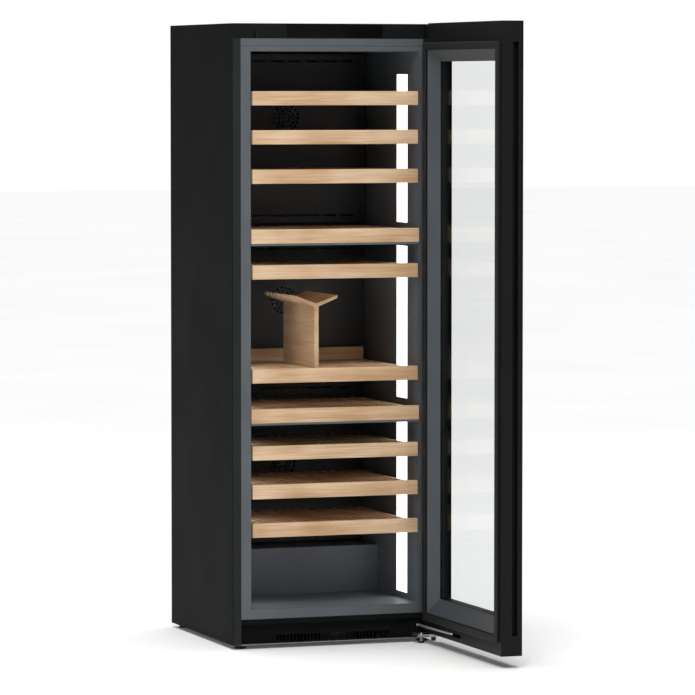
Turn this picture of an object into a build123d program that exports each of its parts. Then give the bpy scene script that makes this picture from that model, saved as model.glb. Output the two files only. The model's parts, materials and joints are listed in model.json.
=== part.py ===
"""Tall three-zone wine cooler with a glass door, hinged on the right and standing open.

Millimetres, +Z up. X runs to the right across the front, -Y faces the person in front.
The origin is on the floor, in the middle between the four levelling feet.
"""
import os

from build123d import *

os.makedirs("parts", exist_ok=True)

# ---------------------------------------------------------------- overall sizes
cabinet_width = 708.0
cabinet_depth = 670.0        # without the door
cabinet_top = 2042.0
base_height = 14.0           # floor to the underside of the cabinet
skin = 1.5                   # painted sheet steel
touch_gap = 0.4              # clearance between pieces that move past each other
bearing_gap = 0.05           # radial clearance of a pin in its bore

half_width = cabinet_width / 2
front = -cabinet_depth / 2   # front plane of the cabinet
rear = cabinet_depth / 2

# ---------------------------------------------------------------- interior
side_wall = 63.0             # insulated side wall, outside to inside
floor_level = 130.0
ceiling_level = 1952.0
interior_depth = 598.0       # from the front plane to the rear wall
hump_front = 388.0           # the machine room pushes the rear of the floor up
hump_top = 286.0
hump_wall = 45.0
floor_wall = 40.0
liner_wall = 2.0
half_inside = half_width - side_wall

# ---------------------------------------------------------------- front trim
flange_width = 29.0          # dark sheet flange beside the grey frame
frame_depth = 12.0
frame_bottom = 98.0
frame_top = 1993.0           # the control panel starts here
frame_groove_level = 1968.0
frame_groove = 1.5
crossbar_bottom = 80.0
crossbar_depth = 18.0
fascia_thickness = 3.0
fascia_bay = 45.0            # depth of the space behind the control panel
glass_panel_width = 332.0
glass_panel_thickness = 4.0
glass_edge = 0.8
hinge_cover_gap = 1.5        # between the panel and the top hinge cover
change_slot_x = -277.0       # slot left for a left-hand hinge
change_slot_width = 8.0
change_slot_height = 30.0
plinth_setback = 16.0
plinth_thickness = 2.0
vent_bottom = 18.0
vent_top = 42.0
vent_spans = [(-200.0, -19.0), (-5.0, 205.0)]
vent_rib_pitch = 12.0
vent_rib = 3.0

# ---------------------------------------------------------------- shelves
shelf_tops = {1: 1822.0, 2: 1695.0, 3: 1567.0, 4: 1372.0, 5: 1256.0,
              6: 917.0, 7: 786.0, 8: 665.0, 9: 538.0, 10: 412.0}
fixed_shelves = (4, 7)       # these two carry the zone dividers
board_height = 46.0
board_thickness = 22.0
board_edge = 2.0
board_proud = 7.0            # board stands this far in front of the cabinet
sliding_gap = 4.5            # board end to liner, each side
fixed_gap = 0.5
deck_drop = 4.0              # slat tops below the top edge of the board
slat_thickness = 12.0
slat_width = 22.0
slat_pitch = 32.0
slat_count = 17
slat_rear = 478.0            # rear end of the slats, from the front plane
batten_thickness = 8.0
batten_width = 24.0
batten_places = (60.0, 250.0, 456.0)
divider_lip = 7.0            # insulated divider seen under the fixed boards
divider_front_gap = 2.0

runner_drop = 30.0           # runner axis below the top edge of the board
runner_front = 22.0
runner_length = 448.0
runner_wall = 1.5
runner_height = 20.0
runner_reach = 12.0          # how far the fixed channel stands off the liner
slider_inner = 17.0          # liner to the inner face of the moving rail
slider_wall = 2.0

# ---------------------------------------------------------------- bottle fence and glass rack
rack_shelf = 6
fence_height = 42.0
fence_thickness = 12.0
rack_x = -40.0
rack_front = 71.0
rack_length = 317.0
rack_board = 15.0
wing_root = 1115.0           # where the wings leave the board
wing_run = 74.0
wing_rise = 27.0
wing_thickness = 10.0
stem_slot = 12.0
stem_slot_pitch = 35.0
stem_slot_count = 8
stem_slot_depth = 48.0

# ---------------------------------------------------------------- air panels and fans
panel_planes = {"top": 495.0, "middle": 524.0, "bottom": 536.0}
panel_wall = 3.0
panel_side_gap = 3.0
panel_end_gap = 6.0
fan_radius = 46.0
fan_opening = 50.0
fan_depth = 18.0
fan_hub = 18.0
fan_shaft = 3.0
fan_blades = 7
fan_blade = 2.0
fan_twist = 35.0
fan_clearance = 3.0
fan_spider = 6.0
fan_level = 0.62             # height of the fan in its zone, as a share
grille_ring = 14.0
grille_hole = 4.5
air_slots = 8
air_slot_pitch = 62.0
air_slot_length = 46.0
air_slot_height = 7.0
air_slot_inset = 24.0

# ---------------------------------------------------------------- light columns
light_front = 103.0
light_width = 104.0
light_depth = 4.0
light_spans = [(150.0, 725.0), (800.0, 1310.0), (1385.0, 1879.0)]

# ---------------------------------------------------------------- door
door_bottom = 38.0
door_top = 2044.0
door_thickness = 71.0
door_gap = 10.0              # inner face of the closed door to the cabinet
outer_glass = 5.0
inner_glass = 4.0
hinge_inset_side = 23.5      # axis to the hinge-side edge of the door
hinge_inset_face = 30.5      # axis to the inner face of the door
door_open_angle = 90.0       # the door stands open at rest
border_side = 42.0           # flat dark border outside the grey frame
border_top = 87.0
border_bottom = 64.0
bevel_side = 42.0            # width of the sloping grey frame
bevel_top = 38.0
bevel_bottom = 51.0
bevel_depth = 31.0
bevel_lip = 2.0
pane_cover = 24.0            # how far the inner pane reaches under the grey frame
spacer_width = 9.0
gasket_width = 24.0
gasket_thickness = door_gap - touch_gap
gasket_edge = 3.0
grip_from_face = 36.0        # finger groove in the free edge of the door
grip_width = 18.0
grip_depth = 24.0
grip_bottom = 102.0
grip_top = 1978.0

# ---------------------------------------------------------------- hinges and closing damper
pin_radius = 5.0
pin_chamfer = 1.0
cover_chamfer = 2.5
bush_radius = 9.0
bush_flange = 13.0
bush_flange_thickness = 2.0
arm_radius = 18.0            # rounded end of the hinge arms
notch_reach = 24.0           # door cut back this far from the hinge axis
notch_clearance = 3.0        # door notch below the top hinge arm
top_arm_bottom = 1999.0
top_arm_thickness = 12.0
top_pin_length = 31.0
bottom_plate_bottom = 22.0
bottom_plate = 8.0
bottom_plate_left = 275.0
bottom_bracket_left = 262.0
bottom_bracket_wall = 3.0
bottom_bracket_setback = 9.0
pin_head = 8.0
pin_head_length = 14.0
bush_end_gap = 4.0           # lower bush ends this far under the damper arm
damper_x = 290.0
damper_forward = 5.0         # pivot in front of the cabinet
damper_length = 276.0
damper_level = 54.0
damper_height = 8.0
damper_width = 8.0
damper_hub = 7.0
damper_tip_inside = 6.0      # tip of the arm inside the door's inner face
damper_pin = 3.0
damper_lug = 7.0
damper_clearance = 1.0       # lug to the inner face of the closed door
damper_slot_depth = 28.0
damper_slot_length = 350.0
damper_slot_gap = 2.0        # above and below the arm

# ---------------------------------------------------------------- feet and machine room
foot_x = 318.0
foot_y = 300.0
foot_radius = 20.0
foot_pad = 8.0
foot_stem = 5.0
foot_stem_top = 50.0
boss_radius = 12.0
boss_height = 24.0
pan_sheet = 2.0
pan_rim = 30.0
hinge_foot_x = 291.0
hinge_foot_forward = 30.0
hinge_foot_radius = 10.0
hinge_foot_land = 15.0       # bracket metal in front of the support foot's axis
hinge_foot_stem_top = 34.0
machine_ceiling = hump_top - hump_wall
compressor_x = -190.0
compressor_y = rear - 112.0
compressor_radius = 82.0
compressor_height = 165.0
compressor_mount = 12.0
compressor_crown = 41.0       # rounding of the shell's top edge
compressor_plate = (196.8, 139.4)
compressor_mount_pitch = (172.2, 114.8)
condenser_size = (190.0, 110.0, 150.0)
condenser_x = 40.0
condenser_y = rear - 110.0
condenser_fins = 22
coil_radius = 4.0
fin_sheet = 1.0
coil_overhang = 24.0         # tubes beyond the fins, both ends together
evaporator_size = (320.0, 36.0, 120.0)
evaporator_fins = 24
evaporator_lift = 30.0

# ---------------------------------------------------------------- rear face
rear_vent_level = 122.0
rear_vent_rows = 5
rear_vent_columns = 6
rear_vent_pitch_x = 96.0
rear_vent_pitch_z = 26.0
rear_vent_length = 72.0
rear_vent_height = 8.0
inlet_x = 270.0
inlet_level = 215.0
inlet_width = 30.0
inlet_height = 24.0
inlet_depth = 26.0
inlet_wall = 2.5
inlet_flange = 4.0
inlet_blade = (2.0, 12.0, 4.0)
inlet_blade_pitch = 7.0
screw_radius = 2.1
screw_head_radius = 4.5
screw_head = 2.4
screw_length = 12.0
screw_inset = 25.0
rear_screw_levels = (320.0, 900.0, 1480.0, 2010.0)
rear_screw_spots = [(side * (half_width - screw_inset), level)
                    for side in (-1, 1) for level in rear_screw_levels]

# ---------------------------------------------------------------- derived places
hinge_x = half_width - hinge_inset_side
hinge_y = front - door_gap - hinge_inset_face
frame_half = half_width - flange_width
divider_drop = board_height + divider_lip
deck_stack = deck_drop + slat_thickness + batten_thickness
sides = {"left": -1, "right": 1}
zones = ("bottom", "middle", "top")
sliding_shelves = [number for number in shelf_tops if number not in fixed_shelves]
upright = (Align.CENTER, Align.CENTER, Align.MIN)
hanging = (Align.CENTER, Align.CENTER, Align.MAX)


def block(x_range, y_range, z_range, mode=Mode.ADD):
    """A block between limits, added to or cut from the part being built."""
    ranges = (x_range, y_range, z_range)
    size = [high - low for low, high in ranges]
    with Locations(tuple((high + low) / 2 for low, high in ranges)):
        Box(*size, mode=mode)


def mirrored_blocks(x_range, y_range, z_range, mode=Mode.ADD):
    """The same block on the right and on the left."""
    block(x_range, y_range, z_range, mode)
    block((-x_range[1], -x_range[0]), y_range, z_range, mode)


def profile_on_side(points, reach, mode=Mode.ADD):
    """A side outline, given as (y, z) points, spread to reach on both sides of the middle."""
    with BuildSketch(Plane.YZ) as outline:
        with BuildLine():
            Polyline(*points, close=True)
        make_face()
    extrude(outline.sketch, amount=reach, both=True, mode=mode)


def interior_points(grow):
    """Side outline of the interior, made larger by grow on every closed side."""
    return [(front, floor_level - grow),
            (front + hump_front + grow, floor_level - grow),
            (front + hump_front + grow, hump_top - grow),
            (front + interior_depth + grow, hump_top - grow),
            (front + interior_depth + grow, ceiling_level + grow),
            (front, ceiling_level + grow)]


def light_windows(x_range):
    """Cuts the seats of the light columns from both side walls."""
    y_range = (front + light_front, front + light_front + light_width)
    for z_range in light_spans:
        mirrored_blocks(x_range, y_range, z_range, Mode.SUBTRACT)


def screw_holes(depth):
    """Cuts the holes of the rear panel's screws to a depth from the rear face."""
    with BuildSketch(Plane.XZ.offset(-rear)) as holes:
        with Locations(*rear_screw_spots):
            Circle(screw_radius)
    extrude(holes.sketch, amount=depth, mode=Mode.SUBTRACT)


def save(builder, name):
    """Labels a finished part and writes it to its own file."""
    builder.part.label = name
    export_step(builder.part, f"parts/{name}.step")


# ================================================================ outer casing
flange_bottom = {"left": base_height, "right": crossbar_bottom}
for side, sign in sides.items():
    with BuildPart() as side_panel:
        wall_x = sorted((sign * (half_width - skin), sign * half_width))
        flange_x = sorted((sign * frame_half, sign * half_width))
        block(wall_x, (front, rear), (base_height, cabinet_top - skin))
        block(flange_x, (front, front + skin), (flange_bottom[side], frame_top))
    save(side_panel, f"side_panel_{side}")

with BuildPart() as top_panel:
    block((-half_width, half_width), (front, rear), (cabinet_top - skin, cabinet_top))
    chamfer(top_panel.edges().group_by(Axis.Z)[-1], skin / 3)
save(top_panel, "top_panel")

pan_half = half_width - skin
with BuildPart() as rear_panel:
    block((-pan_half, pan_half), (rear - skin, rear), (base_height, cabinet_top - skin))
    with BuildSketch(Plane.XZ.offset(-rear)):
        with Locations((0, rear_vent_level)):
            with GridLocations(rear_vent_pitch_x, rear_vent_pitch_z, rear_vent_columns,
                               rear_vent_rows):
                SlotOverall(rear_vent_length, rear_vent_height)
    extrude(amount=2 * skin, mode=Mode.SUBTRACT)
    block((inlet_x - inlet_width / 2, inlet_x + inlet_width / 2), (rear - 2 * skin, rear + skin),
          (inlet_level - inlet_height / 2, inlet_level + inlet_height / 2), Mode.SUBTRACT)
    screw_holes(2 * skin)
save(rear_panel, "rear_panel")

plinth_front = front + plinth_setback
plinth_rear = plinth_front + plinth_thickness
pan_top = base_height + pan_sheet
foot_spots = {"front_left": (-foot_x, -foot_y), "front_right": (foot_x, -foot_y),
              "rear_left": (-foot_x, foot_y), "rear_right": (foot_x, foot_y)}
with BuildPart() as base_pan:
    block((-pan_half, pan_half), (front + skin, rear - skin), (base_height, pan_top))
    mirrored_blocks((pan_half - pan_sheet, pan_half), (plinth_rear, rear - skin),
                    (base_height, base_height + pan_rim))
    with Locations(*[(x, y, base_height) for x, y in foot_spots.values()]):
        Cylinder(boss_radius, boss_height, align=upright)
        Cylinder(foot_stem + bearing_gap, boss_height, align=upright, mode=Mode.SUBTRACT)
save(base_pan, "base_pan")

# ================================================================ insulation and interior
with BuildPart() as inner_liner:
    profile_on_side(interior_points(liner_wall), half_inside + liner_wall)
    profile_on_side(interior_points(0.0), half_inside, Mode.SUBTRACT)
    block((-half_width, half_width), (front, front + frame_depth), (0, cabinet_top), Mode.SUBTRACT)
    light_windows((half_inside, half_inside + liner_wall))
save(inner_liner, "inner_liner")

with BuildPart() as foam_insulation:
    foam_bottom = floor_level - floor_wall
    machine_front = front + hump_front + hump_wall
    profile_on_side([(front + skin, foam_bottom), (machine_front, foam_bottom),
                     (machine_front, machine_ceiling), (rear - skin, machine_ceiling),
                     (rear - skin, cabinet_top - skin), (front + fascia_bay, cabinet_top - skin),
                     (front + fascia_bay, frame_top), (front + skin, frame_top)],
                    half_width - skin)
    profile_on_side(interior_points(liner_wall), half_inside + liner_wall, Mode.SUBTRACT)
    block((-frame_half, frame_half), (front, front + frame_depth),
          (frame_bottom, frame_top), Mode.SUBTRACT)
    block((-half_width, half_width), (front, front + crossbar_depth),
          (0, frame_bottom), Mode.SUBTRACT)
    light_windows((half_inside, half_inside + light_depth))
    screw_holes(skin + screw_length)
save(foam_insulation, "foam_insulation")

with BuildPart() as front_frame:
    block((-frame_half, frame_half), (front, front + frame_depth), (frame_bottom, frame_top))
    block((-half_inside, half_inside), (front, front + frame_depth),
          (floor_level, ceiling_level), Mode.SUBTRACT)
    block((-frame_half, frame_half), (front, front + frame_groove),
          (frame_groove_level, frame_groove_level + frame_groove), Mode.SUBTRACT)
save(front_frame, "front_frame")

with BuildPart() as front_crossbar:
    block((-frame_half, frame_half), (front, front + crossbar_depth),
          (crossbar_bottom, frame_bottom))
    block((-frame_half, frame_half), (front + skin, front + crossbar_depth),
          (crossbar_bottom + skin, frame_bottom - skin), Mode.SUBTRACT)
save(front_crossbar, "front_crossbar")

board_front = front - board_proud
board_rear = board_front + board_thickness
with BuildPart() as zone_dividers:
    for number in fixed_shelves:
        top = shelf_tops[number]
        block((-half_inside, half_inside), (board_rear, front + interior_depth),
              (top - divider_drop, top - deck_stack))
        block((-half_inside + fixed_gap, half_inside - fixed_gap),
              (board_front + divider_front_gap, board_rear),
              (top - divider_drop, top - board_height))
save(zone_dividers, "zone_dividers")


def shelf_board(half_length, top):
    """The beech board along the front of a shelf, with eased edges."""
    with BuildSketch(Plane.YZ) as section:
        with Locations((board_front + board_thickness / 2, top - board_height / 2)):
            RectangleRounded(board_thickness, board_height, board_edge)
    extrude(section.sketch, amount=half_length, both=True)


def shelf_slats(top):
    """Beech slats running to the rear, on battens that tie them together."""
    slat_top = top - deck_drop
    slat_bottom = slat_top - slat_thickness
    slat_end = front + slat_rear
    with Locations((0, (board_rear + slat_end) / 2, slat_top)):
        with GridLocations(slat_pitch, 1.0, slat_count, 1):
            Box(slat_width, slat_end - board_rear, slat_thickness, align=hanging)
    batten_half = half_inside - slider_inner
    for place in batten_places:
        block((-batten_half, batten_half),
              (front + place - batten_width / 2, front + place + batten_width / 2),
              (slat_bottom - batten_thickness, slat_bottom))


with BuildPart() as fixed_shelf_decks:
    for number in fixed_shelves:
        shelf_board(half_inside - fixed_gap, shelf_tops[number])
        shelf_slats(shelf_tops[number])
save(fixed_shelf_decks, "fixed_shelf_decks")

# ================================================================ sliding shelves on runners
runner_y = (front + runner_front, front + runner_front + runner_length)
slider_half = runner_height / 2 - runner_wall - touch_gap
slider_x = half_inside - slider_inner
for number in sliding_shelves:
    top = shelf_tops[number]
    level = top - runner_drop
    with BuildPart() as shelf_deck:
        shelf_board(half_inside - sliding_gap, top)
        shelf_slats(top)
    save(shelf_deck, f"shelf_{number:02d}_deck")

    with BuildPart() as shelf_rails:
        mirrored_blocks((slider_x, slider_x + slider_wall), runner_y,
                        (level - slider_half, top - deck_drop - slat_thickness))
        mirrored_blocks((slider_x, half_inside - runner_wall - touch_gap), runner_y,
                        (level - slider_half, level + slider_half))
    save(shelf_rails, f"shelf_{number:02d}_rails")

with BuildPart() as cabinet_runners:
    for number in sliding_shelves:
        level = shelf_tops[number] - runner_drop
        half_channel = runner_height / 2
        half_hollow = half_channel - runner_wall
        mirrored_blocks((half_inside - runner_reach, half_inside), runner_y,
                        (level - half_channel, level + half_channel))
        mirrored_blocks((half_inside - runner_reach, half_inside - runner_wall), runner_y,
                        (level - half_hollow, level + half_hollow), Mode.SUBTRACT)
save(cabinet_runners, "cabinet_runners")

rack_deck = shelf_tops[rack_shelf] - deck_drop
with BuildPart() as bottle_fence:
    fence_half = (slat_pitch * (slat_count - 1) + slat_width) / 2
    block((-fence_half, fence_half), (front + slat_rear - fence_thickness, front + slat_rear),
          (rack_deck, rack_deck + fence_height))
    chamfer(bottle_fence.edges().filter_by(Axis.X).group_by(Axis.Z)[-1], board_edge)
save(bottle_fence, "bottle_fence")

rack_y = (front + rack_front, front + rack_front + rack_length)
with BuildPart() as glass_rack:
    block((rack_x - rack_board / 2, rack_x + rack_board / 2), rack_y, (rack_deck, wing_root))
    with BuildSketch(Plane.XZ.offset(-rack_y[0])):
        with BuildLine():
            Polyline((rack_x - rack_board / 2, wing_root),
                     (rack_x - wing_run, wing_root + wing_rise),
                     (rack_x - wing_run, wing_root + wing_rise + wing_thickness),
                     (rack_x, wing_root + wing_thickness),
                     (rack_x + wing_run, wing_root + wing_rise + wing_thickness),
                     (rack_x + wing_run, wing_root + wing_rise),
                     (rack_x + rack_board / 2, wing_root), close=True)
        make_face()
    extrude(amount=-rack_length)
    slot_middle = wing_run - stem_slot_depth / 2
    with BuildSketch(Plane.XY.offset(wing_root)):
        with Locations((rack_x - slot_middle, sum(rack_y) / 2), (rack_x + slot_middle, sum(rack_y) / 2)):
            with GridLocations(1.0, stem_slot_pitch, 1, stem_slot_count):
                Rectangle(stem_slot_depth, stem_slot)
    extrude(amount=wing_rise + wing_thickness, mode=Mode.SUBTRACT)
save(glass_rack, "glass_rack")

# ================================================================ air panels, fans, evaporators
duct_rear = front + interior_depth
zone_floor = {"bottom": hump_top, "middle": shelf_tops[7], "top": shelf_tops[4]}
zone_ceiling = {"bottom": shelf_tops[7] - divider_drop, "middle": shelf_tops[4] - divider_drop,
                "top": ceiling_level}
panel_half = half_inside - panel_side_gap
for zone in zones:
    face = front + panel_planes[zone]
    low = zone_floor[zone] + panel_end_gap
    high = zone_ceiling[zone] - panel_end_gap
    fan_z = low + (high - low) * fan_level
    inner_face = face + panel_wall
    shroud_length = fan_depth + 2 * fan_clearance + fan_spider
    with BuildPart() as air_panel:
        block((-panel_half, panel_half), (face, duct_rear), (low, high))
        block((-panel_half + panel_wall, panel_half - panel_wall), (inner_face, duct_rear),
              (low + panel_wall, high - panel_wall), Mode.SUBTRACT)
        with BuildSketch(Plane.XZ.offset(-face)):
            for level in (low + air_slot_inset, high - air_slot_inset):
                with Locations((0, level)):
                    with GridLocations(air_slot_pitch, 1.0, air_slots, 1):
                        SlotOverall(air_slot_length, air_slot_height)
            with Locations((0, fan_z)):
                for ring in (1, 2, 3):
                    with PolarLocations(ring * grille_ring, ring * 6):
                        Circle(grille_hole)
        extrude(amount=-panel_wall, mode=Mode.SUBTRACT)
        with BuildSketch(Plane.XZ.offset(-inner_face)):
            with Locations((0, fan_z)):
                Circle(fan_opening + panel_wall)
                Circle(fan_opening, mode=Mode.SUBTRACT)
        extrude(amount=-shroud_length)
        with BuildSketch(Plane.XZ.offset(fan_spider - inner_face - shroud_length)):
            with Locations((0, fan_z)):
                with PolarLocations(fan_opening / 2, 3):
                    Rectangle(fan_opening + panel_wall, fan_spider)
                Circle(fan_hub / 2)
                Circle(fan_shaft + bearing_gap, mode=Mode.SUBTRACT)
        extrude(amount=-fan_spider)
    save(air_panel, f"air_panel_{zone}")

    with BuildPart() as fan:
        rotor_front = inner_face + fan_clearance
        blade_y = rotor_front + fan_depth / 2
        with Locations(Location((0, rotor_front, fan_z), (-90, 0, 0))):
            Cylinder(fan_hub, fan_depth, align=upright)
            Cylinder(fan_shaft, shroud_length - fan_clearance, align=upright)
        for blade in range(fan_blades):
            outward = Vector(1, 0, 0).rotate(Axis.Y, 360 * blade / fan_blades)
            root = Plane(origin=(0, blade_y, fan_z), x_dir=(0, 1, 0), z_dir=outward)
            with BuildSketch(root.offset(fan_hub - fan_blade)):
                Rectangle(fan_depth, fan_blade, rotation=fan_twist)
            extrude(amount=fan_radius - fan_hub + fan_blade)
    save(fan, f"fan_{zone}")


def finned_coil(size, fins, middle):
    """Upright fins threaded on a bundle of horizontal tubes."""
    length, depth, height = size
    pitch = (length - fin_sheet) / (fins - 1)
    with Locations(middle):
        with GridLocations(pitch, 1.0, fins, 1):
            Box(fin_sheet, depth, height)
        for row in (-1, 0, 1):
            with Locations((0, 0, row * height / 3)):
                Cylinder(coil_radius, length + coil_overhang, rotation=(0, 90, 0))


with BuildPart() as evaporators:
    _, depth, height = evaporator_size
    for zone in zones:
        coil_z = zone_floor[zone] + panel_end_gap + evaporator_lift + height / 2
        finned_coil(evaporator_size, evaporator_fins, (0, duct_rear - depth / 2, coil_z))
save(evaporators, "evaporators")

with BuildPart() as light_columns:
    for z_range in light_spans:
        mirrored_blocks((half_inside, half_inside + light_depth),
                        (front + light_front, front + light_front + light_width), z_range)
save(light_columns, "light_columns")

# ================================================================ control panel
fascia_bottom = frame_top
fascia_top = cabinet_top - skin
arm_left = hinge_x - arm_radius
arm_right = hinge_x + arm_radius
glass_half = glass_panel_width / 2
with BuildPart() as control_fascia:
    fascia_x = (-pan_half, arm_left - hinge_cover_gap)
    block(fascia_x, (front, front + fascia_thickness), (fascia_bottom, fascia_top))
    block(fascia_x, (front, front + fascia_bay), (fascia_bottom, fascia_bottom + fascia_thickness))
    block((-glass_half, glass_half), (front, front + fascia_thickness),
          (fascia_bottom + fascia_thickness, fascia_top), Mode.SUBTRACT)
    with BuildSketch(Plane.XZ.offset(-front)):
        with BuildLine():
            Polyline((change_slot_x - change_slot_width / 2, fascia_bottom),
                     (change_slot_x + change_slot_width / 2, fascia_bottom),
                     (change_slot_x + change_slot_width / 4, fascia_bottom + change_slot_height),
                     (change_slot_x - change_slot_width / 4, fascia_bottom + change_slot_height),
                     close=True)
        make_face()
    extrude(amount=-fascia_thickness, mode=Mode.SUBTRACT)
save(control_fascia, "control_fascia")

with BuildPart() as control_glass:
    block((-glass_half, glass_half), (front, front + glass_panel_thickness),
          (fascia_bottom + fascia_thickness, fascia_top))
    chamfer(control_glass.edges().filter_by(Axis.Z).group_by(Axis.Y)[0], glass_edge)
save(control_glass, "control_glass")

with BuildPart() as plinth_panel:
    plinth_half = pan_half - touch_gap
    block((-plinth_half, plinth_half), (plinth_front, plinth_rear), (pan_top, crossbar_bottom))
    for low, high in vent_spans:
        for index in range(int((high - low) // vent_rib_pitch)):
            left = low + index * vent_rib_pitch
            block((left, left + vent_rib_pitch - vent_rib), (plinth_front, plinth_rear),
                  (vent_bottom, vent_top), Mode.SUBTRACT)
save(plinth_panel, "plinth_panel")


# ================================================================ hinge brackets on the cabinet
def arm_plan(level, height, rear_end):
    """A hinge arm from its rear end forward to a round nose about the hinge axis."""
    with BuildSketch(Plane.XY.offset(level)) as plan:
        with Locations((hinge_x, hinge_y)):
            Circle(arm_radius)
        with Locations((hinge_x, (rear_end + hinge_y) / 2)):
            Rectangle(2 * arm_radius, rear_end - hinge_y)
    extrude(plan.sketch, amount=height)


with BuildPart() as hinge_bracket_top:
    arm_plan(top_arm_bottom, top_arm_thickness, front + fascia_bay)
    block((arm_left, pan_half), (front + skin, front + fascia_bay),
          (fascia_bottom, top_arm_bottom + top_arm_thickness))
    with Locations((hinge_x, hinge_y, top_arm_bottom)):
        Cylinder(pin_radius, top_pin_length, align=hanging)
    chamfer(hinge_bracket_top.faces().sort_by(Axis.Z)[0].edges(), pin_chamfer)
save(hinge_bracket_top, "hinge_bracket_top")

with BuildPart() as hinge_cover_top:
    cover_bottom = top_arm_bottom + top_arm_thickness
    arm_plan(cover_bottom, fascia_top - cover_bottom, front + fascia_bay)
    chamfer(hinge_cover_top.faces().sort_by(Axis.Z)[-1].edges(), cover_chamfer)
save(hinge_cover_top, "hinge_cover_top")

damper_y = front - damper_forward
plate_top = bottom_plate_bottom + bottom_plate
bottom_pin_top = damper_level - bush_end_gap
with BuildPart() as hinge_bracket_bottom:
    wall_y = (front + bottom_bracket_setback, front + bottom_bracket_setback + bottom_bracket_wall)
    arm_plan(bottom_plate_bottom, bottom_plate, wall_y[1])
    block((bottom_plate_left, hinge_x), (front - hinge_foot_forward - hinge_foot_land, wall_y[1]),
          (bottom_plate_bottom, plate_top))
    block((bottom_bracket_left, pan_half - touch_gap), wall_y, (pan_top, crossbar_bottom))
    lug_top = damper_level - touch_gap
    block((damper_x - damper_lug, damper_x + damper_lug),
          (front - door_gap + damper_clearance, wall_y[0]), (plate_top, lug_top))
    with Locations((damper_x, damper_y, lug_top)):
        Cylinder(damper_pin, damper_height + 2 * touch_gap, align=upright)
    with Locations((hinge_x, hinge_y, plate_top)):
        Cylinder(pin_radius, bottom_pin_top - plate_top, align=upright)
    with Locations((hinge_x, hinge_y, bottom_plate_bottom)):
        Cylinder(pin_head, pin_head_length, align=hanging)
    with Locations((hinge_foot_x, front - hinge_foot_forward, bottom_plate_bottom)):
        Cylinder(foot_stem + bearing_gap, bottom_plate, align=upright, mode=Mode.SUBTRACT)
save(hinge_bracket_bottom, "hinge_bracket_bottom")

# ================================================================ machine room
with BuildPart() as compressor:
    shell_bottom = pan_top + compressor_mount
    with Locations((compressor_x, compressor_y, shell_bottom)):
        Cylinder(compressor_radius, compressor_height, align=upright)
        fillet(compressor.edges().group_by(Axis.Z)[-1], compressor_crown)
        Box(*compressor_plate, pan_sheet, align=upright)
        with GridLocations(*compressor_mount_pitch, 2, 2):
            Cylinder(foot_pad, compressor_mount, align=hanging)
save(compressor, "compressor")

with BuildPart() as condenser:
    finned_coil(condenser_size, condenser_fins,
                (condenser_x, condenser_y, pan_top + condenser_size[2] / 2))
save(condenser, "condenser")

with BuildPart() as power_inlet:
    half_w = inlet_width / 2 - touch_gap
    half_h = inlet_height / 2 - touch_gap
    inlet_floor = rear - inlet_depth + inlet_wall
    block((inlet_x - half_w, inlet_x + half_w), (rear - inlet_depth, rear),
          (inlet_level - half_h, inlet_level + half_h))
    block((inlet_x - half_w - inlet_flange, inlet_x + half_w + inlet_flange),
          (rear, rear + inlet_wall),
          (inlet_level - half_h - inlet_flange, inlet_level + half_h + inlet_flange))
    block((inlet_x - half_w + inlet_wall, inlet_x + half_w - inlet_wall),
          (inlet_floor, rear + inlet_wall),
          (inlet_level - half_h + inlet_wall, inlet_level + half_h - inlet_wall), Mode.SUBTRACT)
    with Locations((inlet_x, inlet_floor + inlet_blade[1] / 2, inlet_level)):
        with GridLocations(inlet_blade_pitch, 1.0, 3, 1):
            Box(*inlet_blade)
save(power_inlet, "power_inlet")

with BuildPart() as rear_screws:
    with Locations(*[Location((x, rear, z), (90, 0, 0)) for x, z in rear_screw_spots]):
        Cylinder(screw_radius, screw_length, align=upright)
        Cylinder(screw_head_radius, screw_head, align=hanging)
save(rear_screws, "rear_screws")


# ================================================================ feet
def levelling_foot(place, pad_radius, stem_top):
    """A screwed foot: round pad and stem."""
    with Locations((*place, 0)):
        Cylinder(pad_radius, foot_pad, align=upright)
        Cylinder(foot_stem, stem_top, align=upright)


for place in ("front_left", "front_right"):
    with BuildPart() as foot:
        levelling_foot(foot_spots[place], foot_radius, foot_stem_top)
    save(foot, f"foot_{place}")

with BuildPart() as rear_feet:
    for place in ("rear_left", "rear_right"):
        levelling_foot(foot_spots[place], foot_radius, foot_stem_top)
save(rear_feet, "rear_feet")

with BuildPart() as hinge_foot:
    levelling_foot((hinge_foot_x, front - hinge_foot_forward), hinge_foot_radius, hinge_foot_stem_top)
save(hinge_foot, "hinge_foot")

# ================================================================ door, built about the hinge axis
# In the door's own frame x runs along the closed door, y from its outer face to the cabinet.
door_plane = Plane(origin=(hinge_x, hinge_y, 0),
                   x_dir=Vector(1, 0, 0).rotate(Axis.Z, door_open_angle))
door_right = hinge_inset_side
door_left = door_right - cabinet_width
door_inner = hinge_inset_face
door_outer = door_inner - door_thickness
body_outer = door_outer + outer_glass
pane_inner = door_inner - bevel_depth
pane_outer = pane_inner - inner_glass
opening = (border_side + bevel_side, border_top + bevel_top, border_bottom + bevel_bottom)
bevel_inset = (border_side, border_top, border_bottom)
notch_level = top_arm_bottom - notch_clearance


def inset_block(inset, y_range, mode=Mode.ADD):
    """A slab of the door, inset from its sides, top and bottom."""
    side, top, bottom = inset
    block((door_left + side, door_right - side), y_range, (door_bottom + bottom, door_top - top), mode)


def grown(inset, amount):
    """The same inset with its outline moved outward by an amount."""
    return tuple(value - amount for value in inset)


with BuildPart(door_plane) as door_outer_glass:
    inset_block((0, 0, 0), (door_outer, body_outer))
save(door_outer_glass, "door_outer_glass")

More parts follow.
